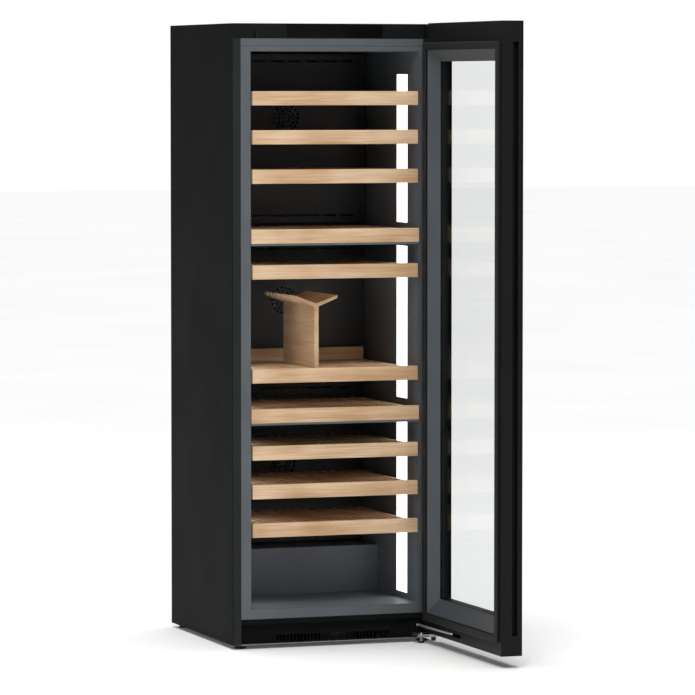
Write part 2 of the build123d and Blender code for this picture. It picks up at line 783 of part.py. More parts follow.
with BuildPart(door_plane) as door_frame:
    inset_block((0, 0, 0), (body_outer, door_inner))
    inset_block(grown(opening, spacer_width), (body_outer, pane_outer), Mode.SUBTRACT)
    inset_block(grown(opening, pane_cover), (pane_outer, pane_inner), Mode.SUBTRACT)
    inset_block(bevel_inset, (pane_inner, door_inner), Mode.SUBTRACT)
    block((-notch_reach, door_right), (body_outer, door_inner), (notch_level, door_top), Mode.SUBTRACT)
    block((door_left, door_left + grip_depth),
          (door_inner - grip_from_face - grip_width, door_inner - grip_from_face),
          (grip_bottom, grip_top), Mode.SUBTRACT)
    block((door_right - damper_slot_length, door_right),
          (door_inner - damper_slot_depth, door_inner),
          (damper_level - damper_slot_gap, damper_level + damper_height + damper_slot_gap),
          Mode.SUBTRACT)
    with Locations((0, 0, door_bottom)):
        Cylinder(bush_radius, bottom_pin_top - door_bottom, align=upright, mode=Mode.SUBTRACT)
    with Locations((0, 0, notch_level)):
        Cylinder(bush_radius, top_pin_length, align=hanging, mode=Mode.SUBTRACT)
save(door_frame, "door_frame")

with BuildPart(door_plane) as door_inner_frame:
    inset_block(bevel_inset, (pane_inner, door_inner))
    for inset, level in ((grown(bevel_inset, -bevel_lip), door_inner), (opening, pane_inner)):
        side, top, bottom = inset
        mouth = Plane(origin=door_plane.from_local_coords(Vector(0, level, 0)),
                      x_dir=door_plane.x_dir, z_dir=-door_plane.y_dir)
        with BuildSketch(mouth):
            with Locations(((door_left + door_right) / 2,
                            (door_bottom + bottom + door_top - top) / 2)):
                Rectangle(cabinet_width - 2 * side, door_top - top - door_bottom - bottom)
    loft(mode=Mode.SUBTRACT)
save(door_inner_frame, "door_inner_frame")

with BuildPart(door_plane) as door_inner_glass:
    inset_block(grown(opening, pane_cover), (pane_outer, pane_inner))
save(door_inner_glass, "door_inner_glass")

with BuildPart(door_plane) as glass_spacer:
    inset_block(grown(opening, spacer_width), (body_outer, pane_outer))
    inset_block(opening, (body_outer, pane_outer), Mode.SUBTRACT)
save(glass_spacer, "glass_spacer")

with BuildPart(door_plane) as door_gasket:
    inset_block(grown(bevel_inset, gasket_width), (door_inner, door_inner + gasket_thickness))
    inset_block(bevel_inset, (door_inner, door_inner + gasket_thickness), Mode.SUBTRACT)
    fillet(door_gasket.faces().sort_by(Axis(door_plane.origin, door_plane.y_dir))[-1].edges(), gasket_edge)
save(door_gasket, "door_gasket")

with BuildPart(door_plane) as door_bushes:
    with Locations((0, 0, door_bottom)):
        Cylinder(bush_radius, bottom_pin_top - door_bottom, align=upright)
        Cylinder(bush_flange, door_bottom - plate_top - touch_gap, align=hanging)
    with Locations((0, 0, notch_level)):
        Cylinder(bush_radius, top_pin_length, align=hanging)
        Cylinder(bush_flange, bush_flange_thickness, align=upright)
    with Locations((0, 0, (door_bottom + door_top) / 2)):
        Cylinder(pin_radius + bearing_gap, door_top, mode=Mode.SUBTRACT)
save(door_bushes, "door_bushes")

tip_run = hinge_x - door_inner + damper_tip_inside - damper_x
tip_reach = (damper_length ** 2 - tip_run ** 2) ** 0.5
with BuildPart() as damper_arm:
    with BuildSketch(Plane(origin=(damper_x, damper_y, damper_level), x_dir=(tip_run, -tip_reach, 0))):
        with Locations((damper_length / 2, 0)):
            Rectangle(damper_length, damper_width)
        Circle(damper_hub)
        Circle(damper_pin + bearing_gap, mode=Mode.SUBTRACT)
    extrude(amount=damper_height)
save(damper_arm, "damper_arm")
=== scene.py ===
"""Looks of a tall wine cooler with a glass door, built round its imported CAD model.

Laid out as an add-on: settings, one operator for each group of like pieces, a panel and a stage.
"""
import json
import math

import bmesh
import bpy
from bpy.props import (FloatProperty, FloatVectorProperty, IntProperty, PointerProperty)
from mathutils import Matrix, Vector


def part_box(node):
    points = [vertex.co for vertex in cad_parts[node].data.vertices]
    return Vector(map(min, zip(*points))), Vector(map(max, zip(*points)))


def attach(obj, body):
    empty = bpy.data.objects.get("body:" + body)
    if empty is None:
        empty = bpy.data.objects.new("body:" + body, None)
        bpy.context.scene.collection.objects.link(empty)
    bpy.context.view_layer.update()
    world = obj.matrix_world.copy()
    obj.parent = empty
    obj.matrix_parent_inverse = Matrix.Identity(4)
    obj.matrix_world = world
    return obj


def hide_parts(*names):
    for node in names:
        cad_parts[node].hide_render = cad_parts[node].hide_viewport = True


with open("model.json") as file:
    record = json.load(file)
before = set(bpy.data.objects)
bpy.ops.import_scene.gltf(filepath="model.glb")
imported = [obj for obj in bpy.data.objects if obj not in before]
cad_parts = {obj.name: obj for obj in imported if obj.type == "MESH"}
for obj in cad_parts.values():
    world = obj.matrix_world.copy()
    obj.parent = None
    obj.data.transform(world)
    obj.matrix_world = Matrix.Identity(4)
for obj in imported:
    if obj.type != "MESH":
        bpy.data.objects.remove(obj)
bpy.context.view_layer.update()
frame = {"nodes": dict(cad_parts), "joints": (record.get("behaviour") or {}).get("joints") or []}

bl_info = {
    "name": "Wine Cooler Looks",
    "version": (1, 0, 0),
    "blender": (4, 5, 0),
    "location": "3D View > Sidebar > Wine Cooler",
    "description": "Builds the visible pieces and finishes of a tall wine cooler",
    "category": "Object",
}

MM = 0.001
SLIDING = sorted(n for n in frame["nodes"] if n.startswith("shelf_") and n.endswith("_deck"))
SHELF_HEIGHT = 46 * MM
BOARD_THICKNESS = 22 * MM
DECK_DROP = 4 * MM
BATTENS = (-0.275, -0.085, 0.121)
SCREW_LEVELS = (0.320, 0.900, 1.480, 2.010)
SIDE_WALL = 0.291
EVAPORATOR_LEVELS = (0.322, 0.822, 1.408)
EVAPORATOR_HEIGHT = 120 * MM
CONDENSER_HEIGHT = 150 * MM
FIN_THICKNESS = 0.6 * MM
ARM_LENGTH = 276 * MM
ARM_OFFSET = 16 * MM


# ---------------------------------------------------------------- settings
def length(name, description, default_mm):
    """A length setting, kept in metres."""
    return FloatProperty(name=name, description=description, default=default_mm * MM,
                         min=0.0, unit="LENGTH", precision=5)


def colour(name, description, sheen):
    """A colour setting, given as an sRGB hex value and kept linear."""
    return FloatVectorProperty(name=name, description=description, subtype="COLOR", size=3,
                               min=0.0, max=1.0, default=linear(sheen)[:3])


def linear(hex_value):
    """An sRGB hex value as linear red, green, blue and an alpha of one."""
    channels = [int(hex_value[i:i + 2], 16) / 255 for i in (1, 3, 5)]
    return tuple(c / 12.92 if c <= 0.04045 else ((c + 0.055) / 1.055) ** 2.4
                 for c in channels) + (1.0,)


class CasingSettings(bpy.types.PropertyGroup):
    """Sizes and colours of the casing."""
    bend_radius: length("Bend radius", "Outside radius of the folded sheet corners", 2.4)
    edge: length("Edge radius", "Eased edge of sheet and moulded pieces", 0.5)
    coat: colour("Coat", "Powder coat of the casing", "#151616")
    trim: colour("Trim", "Moulded frame round the opening", "#54595d")


class ShelfSettings(bpy.types.PropertyGroup):
    """Sizes and colours of the shelves."""
    board_edge: length("Board edge", "Rounded edge of the front boards", 1.6)
    slat_edge: length("Slat edge", "Rounded edge of the slats", 1.8)
    slats: IntProperty(name="Slats", description="Number of slats on a shelf", default=17, min=2)
    slat_pitch: length("Slat pitch", "Middle to middle of the slats", 32.0)
    slat_width: length("Slat width", "Width of one slat", 22.0)
    slat_thickness: length("Slat thickness", "Thickness of one slat", 12.0)
    wood_light: colour("Light wood", "Early wood of the oiled beech", "#e2c3a1")
    wood_dark: colour("Dark wood", "Late wood of the oiled beech", "#bf986f")


class DoorSettings(bpy.types.PropertyGroup):
    """Sizes and colours of the door."""
    glass_edge: length("Glass edge", "Polished arris of the panes", 0.8)
    frame_edge: length("Frame edge", "Eased edge of the door frame", 1.0)
    bevel_colour: colour("Inner frame", "Sloping inner frame of the door", "#474d52")
    glass_tint: colour("Glass tint", "Tint of the insulating glass", "#f9fafa")


class StageSettings(bpy.types.PropertyGroup):
    """Light and camera."""
    lens: FloatProperty(name="Lens", description="Focal length on a 36 mm sensor, in mm",
                        default=228.6, min=10.0)
    camera_place: FloatVectorProperty(name="Camera", description="Place of the camera",
                                      subtype="TRANSLATION", unit="LENGTH",
                                      default=(-4.819, -13.951, 1.841))
    yaw: FloatProperty(name="Yaw", description="Camera heading, to the right of straight on",
                       subtype="ANGLE", default=math.radians(19.65))
    pitch: FloatProperty(name="Pitch", description="Camera tilt, upward", subtype="ANGLE",
                         default=math.radians(-3.40))
    column_light: FloatProperty(name="Column light", description="Glow of the light columns",
                                default=1.8, min=0.0)
    ambient: FloatProperty(name="Ambient", description="Strength of the light from all round",
                           default=0.22, min=0.0)
    overhead: FloatProperty(name="Overhead", description="Strength of the overhead silk",
                            default=2.75, min=0.0)


SETTINGS = {"wine_casing": CasingSettings, "wine_shelves": ShelfSettings,
            "wine_door": DoorSettings, "wine_stage": StageSettings}


# ---------------------------------------------------------------- material nodes
def add_node(tree, kind, links=None, **settings):
    """Adds a shader or geometry node, sets its values and joins its inputs.

    A setting named after an input socket sets that socket, any other sets the node itself.
    links maps an input's name or number to an output socket."""
    node = tree.nodes.new(kind)
    for key, value in settings.items():
        if hasattr(node, key) and key not in ("Scale", "Value"):
            setattr(node, key, value)
        else:
            node.inputs[key.replace("_", " ")].default_value = value
    for key, source in (links or {}).items():
        tree.links.new(source, node.inputs[key])
    return node


def new_material(name, base, roughness, **shader):
    """A material with one Principled shader; shader sets its other sockets."""
    material = bpy.data.materials.new(name)
    material.use_nodes = True
    tree = material.node_tree
    tree.nodes.clear()
    surface = add_node(tree, "ShaderNodeBsdfPrincipled")
    surface.inputs["Base Color"].default_value = base
    surface.inputs["Roughness"].default_value = roughness
    for socket, value in shader.items():
        surface.inputs[socket.replace("_", " ")].default_value = value
    add_node(tree, "ShaderNodeOutputMaterial", {"Surface": surface.outputs["BSDF"]})
    place = add_node(tree, "ShaderNodeTexCoord").outputs["Object"]
    return material, tree, surface, place


def grain_noise(tree, place, size, detail=2.0, stretch=(1, 1, 1)):
    """Noise whose features are about size metres across, drawn out along an axis by stretch."""
    mapping = add_node(tree, "ShaderNodeMapping", {"Vector": place},
                       Scale=tuple(1 / s for s in stretch))
    return add_node(tree, "ShaderNodeTexNoise", {"Vector": mapping.outputs["Vector"]},
                    Scale=1 / size, Detail=detail)


def tone_range(tree, source, low, high, from_low=0.3, from_high=0.7):
    """Spreads a texture's middle values over a range."""
    return add_node(tree, "ShaderNodeMapRange", {"Value": source}, clamp=True, From_Min=from_low,
                    From_Max=from_high, To_Min=low, To_Max=high).outputs["Result"]


def tinted(tree, source, low, high):
    """Mixes two colours by a texture. low is a colour or the output that gives one."""
    mix = add_node(tree, "ShaderNodeMix", data_type="RGBA")
    if isinstance(low, bpy.types.NodeSocket):
        tree.links.new(low, mix.inputs[6])
    else:
        mix.inputs[6].default_value = low
    mix.inputs[7].default_value = high
    tree.links.new(source, mix.inputs[0])
    return mix.outputs[2]


def relief(tree, surface, height, depth, strength=1.0):
    """Raises the surface by a texture, depth metres from low to high."""
    bump = add_node(tree, "ShaderNodeBump", {"Height": height}, Strength=strength, Distance=depth)
    tree.links.new(bump.outputs["Normal"], surface.inputs["Normal"])


def dimmed(base, factor):
    """A colour made darker or lighter by a factor."""
    return tuple(min(1.0, c * factor) for c in base[:3]) + (1.0,)


def moulded(name, base, roughness, texture_size, texture_depth, **shader):
    """Injection-moulded plastic: an even colour, a spark-eroded texture and slight sheen changes."""
    material, tree, surface, place = new_material(name, base, roughness, **shader)
    cloud = grain_noise(tree, place, 180 * MM)
    tree.links.new(tinted(tree, tone_range(tree, cloud.outputs["Fac"], 0, 1),
                          dimmed(base, 0.92), dimmed(base, 1.08)), surface.inputs["Base Color"])
    tree.links.new(tone_range(tree, cloud.outputs["Fac"], roughness - 0.04, roughness + 0.04),
                   surface.inputs["Roughness"])
    pits = grain_noise(tree, place, texture_size, detail=1.0)
    relief(tree, surface, pits.outputs["Fac"], texture_depth)
    return material


def powder_coat(name, base):
    """Baked powder coat on steel sheet: dark and nearly matt, with a shallow orange peel and
    long soft waves. Its specular level is far below a typical one, to stay black in this light."""
    material, tree, surface, place = new_material(name, base, 0.45, Specular_IOR_Level=0.012)
    waves = grain_noise(tree, place, 250 * MM)
    tree.links.new(tone_range(tree, waves.outputs["Fac"], 0.42, 0.5), surface.inputs["Roughness"])
    tree.links.new(tinted(tree, tone_range(tree, waves.outputs["Fac"], 0, 1),
                          dimmed(base, 0.9), dimmed(base, 1.1)), surface.inputs["Base Color"])
    # the real peel is about 1 mm from crest to crest, drawn at 2 mm so that it shows
    peel = grain_noise(tree, place, 2.0 * MM, detail=1.0)
    relief(tree, surface, peel.outputs["Fac"], 0.012 * MM)
    return material


def oiled_beech(name, light, dark, along):
    """Steamed beech, planed and oiled: straight fine grain along one axis, short dark flecks
    and a slow change of tone from board to board."""
    material, tree, surface, place = new_material(name, light, 0.46, Specular_IOR_Level=0.4)
    stretch = {"X": (40, 1, 1), "Y": (1, 40, 1), "Z": (1, 1, 40)}[along]
    slow = {"X": (9, 1, 1), "Y": (1, 9, 1), "Z": (1, 1, 9)}[along]
    # growth lines 3.5 mm apart, wandering slowly along the board
    growth = grain_noise(tree, place, 3.5 * MM, detail=5.0, stretch=stretch)
    cloud = grain_noise(tree, place, 40 * MM, detail=3.0, stretch=slow)
    board = grain_noise(tree, place, 160 * MM, detail=1.0)
    # rays show as short flecks about 0.9 mm wide
    fleck = grain_noise(tree, place, 0.9 * MM, detail=1.0,
                        stretch=tuple(max(1, s / 8) for s in stretch))
    figure = add_node(tree, "ShaderNodeMath", {0: growth.outputs["Fac"], 1: cloud.outputs["Fac"]},
                      operation="ADD").outputs["Value"]
    figure = add_node(tree, "ShaderNodeMath", {0: figure, 1: board.outputs["Fac"]},
                      operation="ADD").outputs["Value"]
    wood = tinted(tree, tone_range(tree, figure, 0, 1, 1.2, 1.8), dark, light)
    shade = tone_range(tree, fleck.outputs["Fac"], 0.0, 0.35, 0.62, 0.75)
    tree.links.new(tinted(tree, shade, wood, dimmed(dark, 0.72)), surface.inputs["Base Color"])
    tree.links.new(tone_range(tree, growth.outputs["Fac"], 0.40, 0.54), surface.inputs["Roughness"])
    relief(tree, surface, growth.outputs["Fac"], 0.05 * MM)
    return material


def plated(name, base, roughness, spangle):
    """Zinc on steel: grey metal, with crystals of slightly different tone, spangle metres across."""
    material, tree, surface, place = new_material(name, base, roughness, Metallic=1.0)
    crystals = add_node(tree, "ShaderNodeTexVoronoi", {"Vector": place}, Scale=1 / spangle)
    tone = add_node(tree, "ShaderNodeSeparateColor", {"Color": crystals.outputs["Color"]})
    tree.links.new(tinted(tree, tone.outputs["Red"], dimmed(base, 0.93), dimmed(base, 1.06)),
                   surface.inputs["Base Color"])
    tree.links.new(tone_range(tree, tone.outputs["Green"], roughness - 0.04, roughness + 0.04, 0, 1),
                   surface.inputs["Roughness"])
    return material


def brushed(name, base, roughness, along):
    """Drawn or rolled metal: hair lines along one axis."""
    material, tree, surface, place = new_material(name, base, roughness, Metallic=1.0)
    stretch = {"X": (60, 1, 1), "Y": (1, 60, 1), "Z": (1, 1, 60)}[along]
    lines = grain_noise(tree, place, 0.6 * MM, detail=3.0, stretch=stretch)
    tree.links.new(tone_range(tree, lines.outputs["Fac"], roughness - 0.07, roughness + 0.10),
                   surface.inputs["Roughness"])
    relief(tree, surface, lines.outputs["Fac"], 0.01 * MM)
    return material


def float_glass(name, tint):
    """Coated float glass: colourless but for a slight grey tint, with a faint roll wave.
    The low index stands for its anti-reflective coating."""
    material, tree, surface, place = new_material(name, tint, 0.0, Transmission_Weight=1.0, IOR=1.09)
    wave = grain_noise(tree, place, 220 * MM, detail=0.0)
    relief(tree, surface, wave.outputs["Fac"], 0.05 * MM)
    return material


def gloss_black(name, base):
    """Black enamel fired on glass, or black display glass: mirror-smooth with faint wiping marks."""
    material, tree, surface, place = new_material(name, base, 0.12, Specular_IOR_Level=0.2)
    marks = grain_noise(tree, place, 45 * MM, detail=4.0)
    tree.links.new(tone_range(tree, marks.outputs["Fac"], 0.08, 0.14), surface.inputs["Roughness"])
    tree.links.new(tinted(tree, tone_range(tree, marks.outputs["Fac"], 0, 1), base,
                          dimmed(base, 1.3)), surface.inputs["Base Color"])
    return material


def soft_rubber(name, base):
    """Extruded gasket compound: matt, with fine upright lines from the die."""
    material, tree, surface, place = new_material(name, base, 0.68, Specular_IOR_Level=0.35)
    lines = grain_noise(tree, place, 0.8 * MM, detail=1.0, stretch=(1, 1, 30))
    tree.links.new(tone_range(tree, lines.outputs["Fac"], 0.6, 0.76), surface.inputs["Roughness"])
    relief(tree, surface, lines.outputs["Fac"], 0.03 * MM)
    return material


def opal_light(name, strength):
    """Opal acrylic over light-emitting diodes: an even white glow with faint cool clouds."""
    material, tree, surface, place = new_material(name, linear("#f6f8fb"), 0.5,
                                                  Emission_Strength=strength)
    haze = grain_noise(tree, place, 60 * MM, detail=1.0)
    tree.links.new(tinted(tree, tone_range(tree, haze.outputs["Fac"], 0, 1), linear("#f2f6fb"),
                          linear("#ffffff")), surface.inputs["Emission Color"])
    return material


def cut_foam(name, base):
    """Rigid polyurethane foam: matt, with cells drawn 1.5 mm across so that they show."""
    material, tree, surface, place = new_material(name, base, 0.9)
    cells = add_node(tree, "ShaderNodeTexVoronoi", {"Vector": place}, Scale=1 / (1.5 * MM))
    tree.links.new(tinted(tree, cells.outputs["Distance"], dimmed(base, 0.7), base),
                   surface.inputs["Base Color"])
    relief(tree, surface, cells.outputs["Distance"], 0.3 * MM)
    return material


FINISH = {}


def make_finishes(context):
    """All finishes of the cooler, by the name of what they coat."""
    casing, shelves, door, stage = (getattr(context.scene, key) for key in SETTINGS)
    coat, trim = (*casing.coat, 1.0), (*casing.trim, 1.0)
    light_wood, dark_wood = (*shelves.wood_light, 1.0), (*shelves.wood_dark, 1.0)
    FINISH.update({
        # sheet steel and mouldings
        "casing": powder_coat("powder_coated_steel_black", coat),
        # painted light: the casing's own black powder coat, made a lighter grey where light falls on
        # the front faces
        "flange_painted_light": powder_coat("powder_coat_flange_painted_light", linear("#2b2e2e")),
        "trim": moulded("abs_smoke_grey", trim, 0.42, 0.9 * MM, 0.01 * MM),
        "inner_frame": moulded("abs_slate_grey", (*door.bevel_colour, 1.0), 0.40, 0.9 * MM, 0.01 * MM),
        "charcoal": moulded("abs_charcoal", linear("#141516"), 0.42, 0.9 * MM, 0.012 * MM,
                            Specular_IOR_Level=0.12),
        "liner": moulded("polystyrene_liner_graphite", linear("#656c73"), 0.5, 1.6 * MM, 0.02 * MM),
        "air_panel": moulded("abs_black", linear("#1f2123"), 0.46, 1.2 * MM, 0.02 * MM),
        "divider": moulded("abs_divider_grey", linear("#5c6062"), 0.5, 1.2 * MM, 0.015 * MM),
        "nylon": moulded("nylon_black", linear("#1c1d1e"), 0.5, 0.8 * MM, 0.02 * MM),
        "foam": cut_foam("polyurethane_foam", linear("#d9cda6")),
        # wood, with its grain along the board or along the slat
        "beech_x": oiled_beech("oiled_beech_across", light_wood, dark_wood, "X"),
        "beech_y": oiled_beech("oiled_beech_lengthwise", light_wood, dark_wood, "Y"),
        # metals
        "zinc": plated("zinc_plated_steel", linear("#c6c8ca"), 0.38, 3 * MM),
        "galvanised": plated("galvanised_steel", linear("#a6a9ab"), 0.42, 14 * MM),
        "rail": brushed("rolled_steel_rail", linear("#8a8c8e"), 0.34, "Y"),
        "chrome": brushed("satin_chrome", linear("#f2f3f4"), 0.42, "Y"),
        "fins": brushed("mill_aluminium", linear("#c9cbcc"), 0.38, "Z"),
        "copper": brushed("drawn_copper", linear("#c87a55"), 0.30, "X"),
        # glass, seals and light
        "enamel": gloss_black("black_glass_enamel", linear("#0b0b0c")),
        "display": gloss_black("black_display_glass", linear("#0a0a0b")),
        "shell": gloss_black("baked_black_enamel", linear("#101011")),
        "glass": float_glass("float_glass", (*door.glass_tint, 1.0)),
        "sealant": moulded("spacer_bar_black", linear("#0a0a0b"), 0.6, 0.8 * MM, 0.02 * MM,
                           Specular_IOR_Level=0.1),
        "gasket": soft_rubber("gasket_elastomer_black", linear("#161718")),
        "light": opal_light("opal_acrylic_lit", stage.column_light),
    })


# ---------------------------------------------------------------- mesh work
def along(axis, a, b, level):
    """A point from two outline values and its place along the third axis."""
    return {"X": (level, a, b), "Y": (a, level, b), "Z": (a, b, level)}[axis]


def prism(bm, outline, low, high, axis, material=0):
    """A closed prism: an outline of (a, b) points spread along an axis."""
    ends = [[bm.verts.new(along(axis, a, b, level)) for a, b in outline] for level in (low, high)]
    count = len(outline)
    faces = [bm.faces.new(ends[0]), bm.faces.new(list(reversed(ends[1])))]
    faces += [bm.faces.new((ends[0][i], ends[1][i], ends[1][(i + 1) % count], ends[0][(i + 1) % count]))
              for i in range(count)]
    for face in faces:
        face.material_index = material
    return faces


def slab(bm, low, high, material=0):
    """A block between two corners."""
    return prism(bm, [(low[0], low[1]), (high[0], low[1]), (high[0], high[1]), (low[0], high[1])],
                 low[2], high[2], "Z", material)


def arc(centre, radius, start, end, steps=5):
    """Points on an arc, angles in degrees."""
    angles = [math.radians(start + (end - start) * i / steps) for i in range(steps + 1)]
    return [(centre[0] + radius * math.cos(t), centre[1] + radius * math.sin(t)) for t in angles]


def rounded(low, high, radius, steps=4):
    """Outline of a rectangle with rounded corners."""
    (x0, y0), (x1, y1) = low, high
    corners = (((x1 - radius, y1 - radius), 0), ((x0 + radius, y1 - radius), 90),
               ((x0 + radius, y0 + radius), 180), ((x1 - radius, y0 + radius), 270))
    return [p for centre, start in corners for p in arc(centre, radius, start, start + 90, steps)]


def lathe(bm, profile, centre, steps=32, material=0):
    """A turned shape about a vertical axis: profile of (radius, height), closed at both ends."""
    rings = []
    for radius, height in profile:
        rings.append([bm.verts.new((centre[0] + radius * math.cos(2 * math.pi * i / steps),
                                    centre[1] + radius * math.sin(2 * math.pi * i / steps),
                                    centre[2] + height)) for i in range(steps)])
    faces = []
    for lower, upper in zip(rings, rings[1:]):
        faces += [bm.faces.new((lower[i], lower[(i + 1) % steps], upper[(i + 1) % steps], upper[i]))
                  for i in range(steps)]
    faces += [bm.faces.new(list(reversed(rings[0]))), bm.faces.new(rings[-1])]
    for face in faces:
        face.material_index = material
    return faces


def ring_sweep(bm, section, low, high, place, material=0):
    """A mitred rectangular ring. section holds closed (inset, height) points, low and high are the
    outer rectangle, and place turns (a, b, height) into a point."""
    loops = []
    for inset, height in section:
        corners = ((low[0] + inset, low[1] + inset), (high[0] - inset, low[1] + inset),
                   (high[0] - inset, high[1] - inset), (low[0] + inset, high[1] - inset))
        loops.append([bm.verts.new(place(a, b, height)) for a, b in corners])
    for i, loop in enumerate(loops):
        after = loops[(i + 1) % len(loops)]
        for k in range(4):
            face = bm.faces.new((loop[k], loop[(k + 1) % 4], after[(k + 1) % 4], after[k]))
            face.material_index = material


def from_bmesh(name, bm, materials, edge=0.0, segments=2, smooth_angle=32.0):
    """Turns mesh work into an object: normals outward, edges eased, shading by angle."""
    bmesh.ops.recalc_face_normals(bm, faces=bm.faces)
    mesh = bpy.data.meshes.new(name)
    bm.to_mesh(mesh)
    bm.free()
    for material in materials:
        mesh.materials.append(FINISH[material])
    piece = bpy.data.objects.new(name, mesh)
    bpy.context.scene.collection.objects.link(piece)
    if edge:
        ease(piece, edge, segments)
    shade_by_angle(piece, smooth_angle)
    if edge:
        keep_flats_flat(piece)
    return piece


def shade_by_angle(piece, angle):
    """Smooth faces, with edges sharper than an angle kept sharp."""
    bm = bmesh.new()
    bm.from_mesh(piece.data)
    for face in bm.faces:
        face.smooth = True
    for line in bm.edges:
        line.smooth = len(line.link_faces) == 2 and line.calc_face_angle(0.0) < math.radians(angle)
    bm.to_mesh(piece.data)
    bm.free()


def ease(piece, width, segments):
    """Rounds a piece's edges and keeps the result as its mesh."""
    bevel = piece.modifiers.new("eased_edges", "BEVEL")
    bevel.width = width
    bevel.segments = segments
    bevel.limit_method = "ANGLE"
    bevel.angle_limit = math.radians(40)
    apply_modifiers(piece)


def keep_flats_flat(piece):
    """Turns the shading normals towards the large faces, so that they read as flat."""
    weigh = piece.modifiers.new("weighted_normals", "WEIGHTED_NORMAL")
    weigh.keep_sharp = True
    weigh.weight = 100
    apply_modifiers(piece)


def apply_modifiers(piece):
    """Replaces a piece's mesh by what its modifiers make of it."""
    depsgraph = bpy.context.evaluated_depsgraph_get()
    mesh = bpy.data.meshes.new_from_object(piece.evaluated_get(depsgraph), depsgraph=depsgraph)
    before = piece.data
    piece.modifiers.clear()
    piece.data = mesh
    mesh.name = piece.name
    bpy.data.meshes.remove(before)


def cad_shape(*nodes):
    """Mesh work that starts as a clean copy of CAD nodes, with flat faces joined up."""
    bm = bmesh.new()
    for node in nodes:
        source = frame["nodes"][node].data
        verts = [bm.verts.new(v.co) for v in source.vertices]
        for polygon in source.polygons:
            bm.faces.new([verts[i] for i in polygon.vertices])
    bmesh.ops.remove_doubles(bm, verts=bm.verts, dist=0.01 * MM)
    bmesh.ops.dissolve_limit(bm, angle_limit=math.radians(1.0), verts=bm.verts, edges=bm.edges)
    return bm


def settle(piece, body, slot, *nodes):
    """Makes a piece ride on its body and stand for its CAD nodes; its slot is not used."""
    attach(piece, body)
    if nodes:
        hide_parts(*nodes)
    return piece


def eased_copy(node, body, slot, material, edge, segments=2):
    """A CAD node's shape with eased edges and a finish."""
    piece = from_bmesh(f"{node}_finished", cad_shape(node), [material], edge, segments)
    return settle(piece, body, slot, node)


def coat_node(node, material):
    """Gives a CAD node that keeps its shape a better finish."""
    mesh = frame["nodes"][node].data
    mesh.materials.clear()
    mesh.materials.append(FINISH[material])


# ---------------------------------------------------------------- repeated pieces
def repeat_tree(name, ring):
    """Geometry nodes that repeat a piece in a row, or in a ring about the Y axis."""
    tree = bpy.data.node_groups.new(name, "GeometryNodeTree")
    face = tree.interface
    for label, kind, value in (("Piece", "NodeSocketGeometry", None),
                               ("Count", "NodeSocketInt", 2),
                               ("Start", "NodeSocketVector", (0, 0, 0)),
                               ("Step", "NodeSocketVector", (0, 0, 0)),
                               ("Material", "NodeSocketMaterial", None)):
        socket = face.new_socket(label, in_out="INPUT", socket_type=kind)
        if value is not None:
            socket.default_value = value
    face.new_socket("Piece", in_out="OUTPUT", socket_type="NodeSocketGeometry")
    given = add_node(tree, "NodeGroupInput")
    if ring:
        # every point sits at the start, and only the turn differs
        points = add_node(tree, "GeometryNodeMeshLine", {"Count": given.outputs["Count"],
                                                         "Start Location": given.outputs["Start"]})
        tree.links.new(given.outputs["Step"], points.inputs["Offset"])
        index = add_node(tree, "GeometryNodeInputIndex")
        share = add_node(tree, "ShaderNodeMath", {0: index.outputs["Index"],
                                                  1: given.outputs["Count"]}, operation="DIVIDE")
        angle = add_node(tree, "ShaderNodeMath", {0: share.outputs["Value"]}, operation="MULTIPLY")
        angle.inputs[1].default_value = 2 * math.pi
        turn = add_node(tree, "ShaderNodeCombineXYZ", {"Y": angle.outputs["Value"]})
        placed = add_node(tree, "GeometryNodeInstanceOnPoints",
                          {"Points": points.outputs["Mesh"], "Instance": given.outputs["Piece"],
                           "Rotation": turn.outputs["Vector"]})
    else:
        points = add_node(tree, "GeometryNodeMeshLine",
                          {"Count": given.outputs["Count"], "Start Location": given.outputs["Start"],
                           "Offset": given.outputs["Step"]})
        placed = add_node(tree, "GeometryNodeInstanceOnPoints",
                          {"Points": points.outputs["Mesh"], "Instance": given.outputs["Piece"]})
    real = add_node(tree, "GeometryNodeRealizeInstances", {"Geometry": placed.outputs["Instances"]})
    coated = add_node(tree, "GeometryNodeSetMaterial", {"Geometry": real.outputs["Geometry"],
                                                        "Material": given.outputs["Material"]})
    add_node(tree, "NodeGroupOutput", {0: coated.outputs["Geometry"]})
    return tree


def repeated(name, bm, material, count, start, step=(0, 0, 0), ring=False, smooth_angle=32.0):
    """A piece made of a unit repeated by geometry nodes, as a plain mesh object."""
    key = "ring_of_pieces" if ring else "row_of_pieces"
    tree = bpy.data.node_groups.get(key) or repeat_tree(key, ring)
    piece = from_bmesh(name, bm, [material])
    modifier = piece.modifiers.new("repeat", "NODES")
    modifier.node_group = tree
    sockets = {item.name: item.identifier for item in tree.interface.items_tree
               if item.in_out == "INPUT"}
    modifier[sockets["Count"]] = count
    modifier[sockets["Start"]] = start
    modifier[sockets["Step"]] = step
    modifier[sockets["Material"]] = FINISH[material]
    apply_modifiers(piece)
    shade_by_angle(piece, smooth_angle)
    return piece


# ---------------------------------------------------------------- operators
class PieceOperator:
    """What all the operators of the cooler share."""
    bl_options = {"REGISTER", "UNDO"}

    def execute(self, context):
        """Builds the pieces; a fault raises an error and stops the script."""
        self.build(context)
        return {"FINISHED"}


class WINE_OT_finishes(PieceOperator, bpy.types.Operator):
    """Make every finish of the cooler"""
    bl_idname = "wine.finishes"
    bl_label = "Finishes"

    def build(self, context):
        """Fills the table of finishes."""
        make_finishes(context)


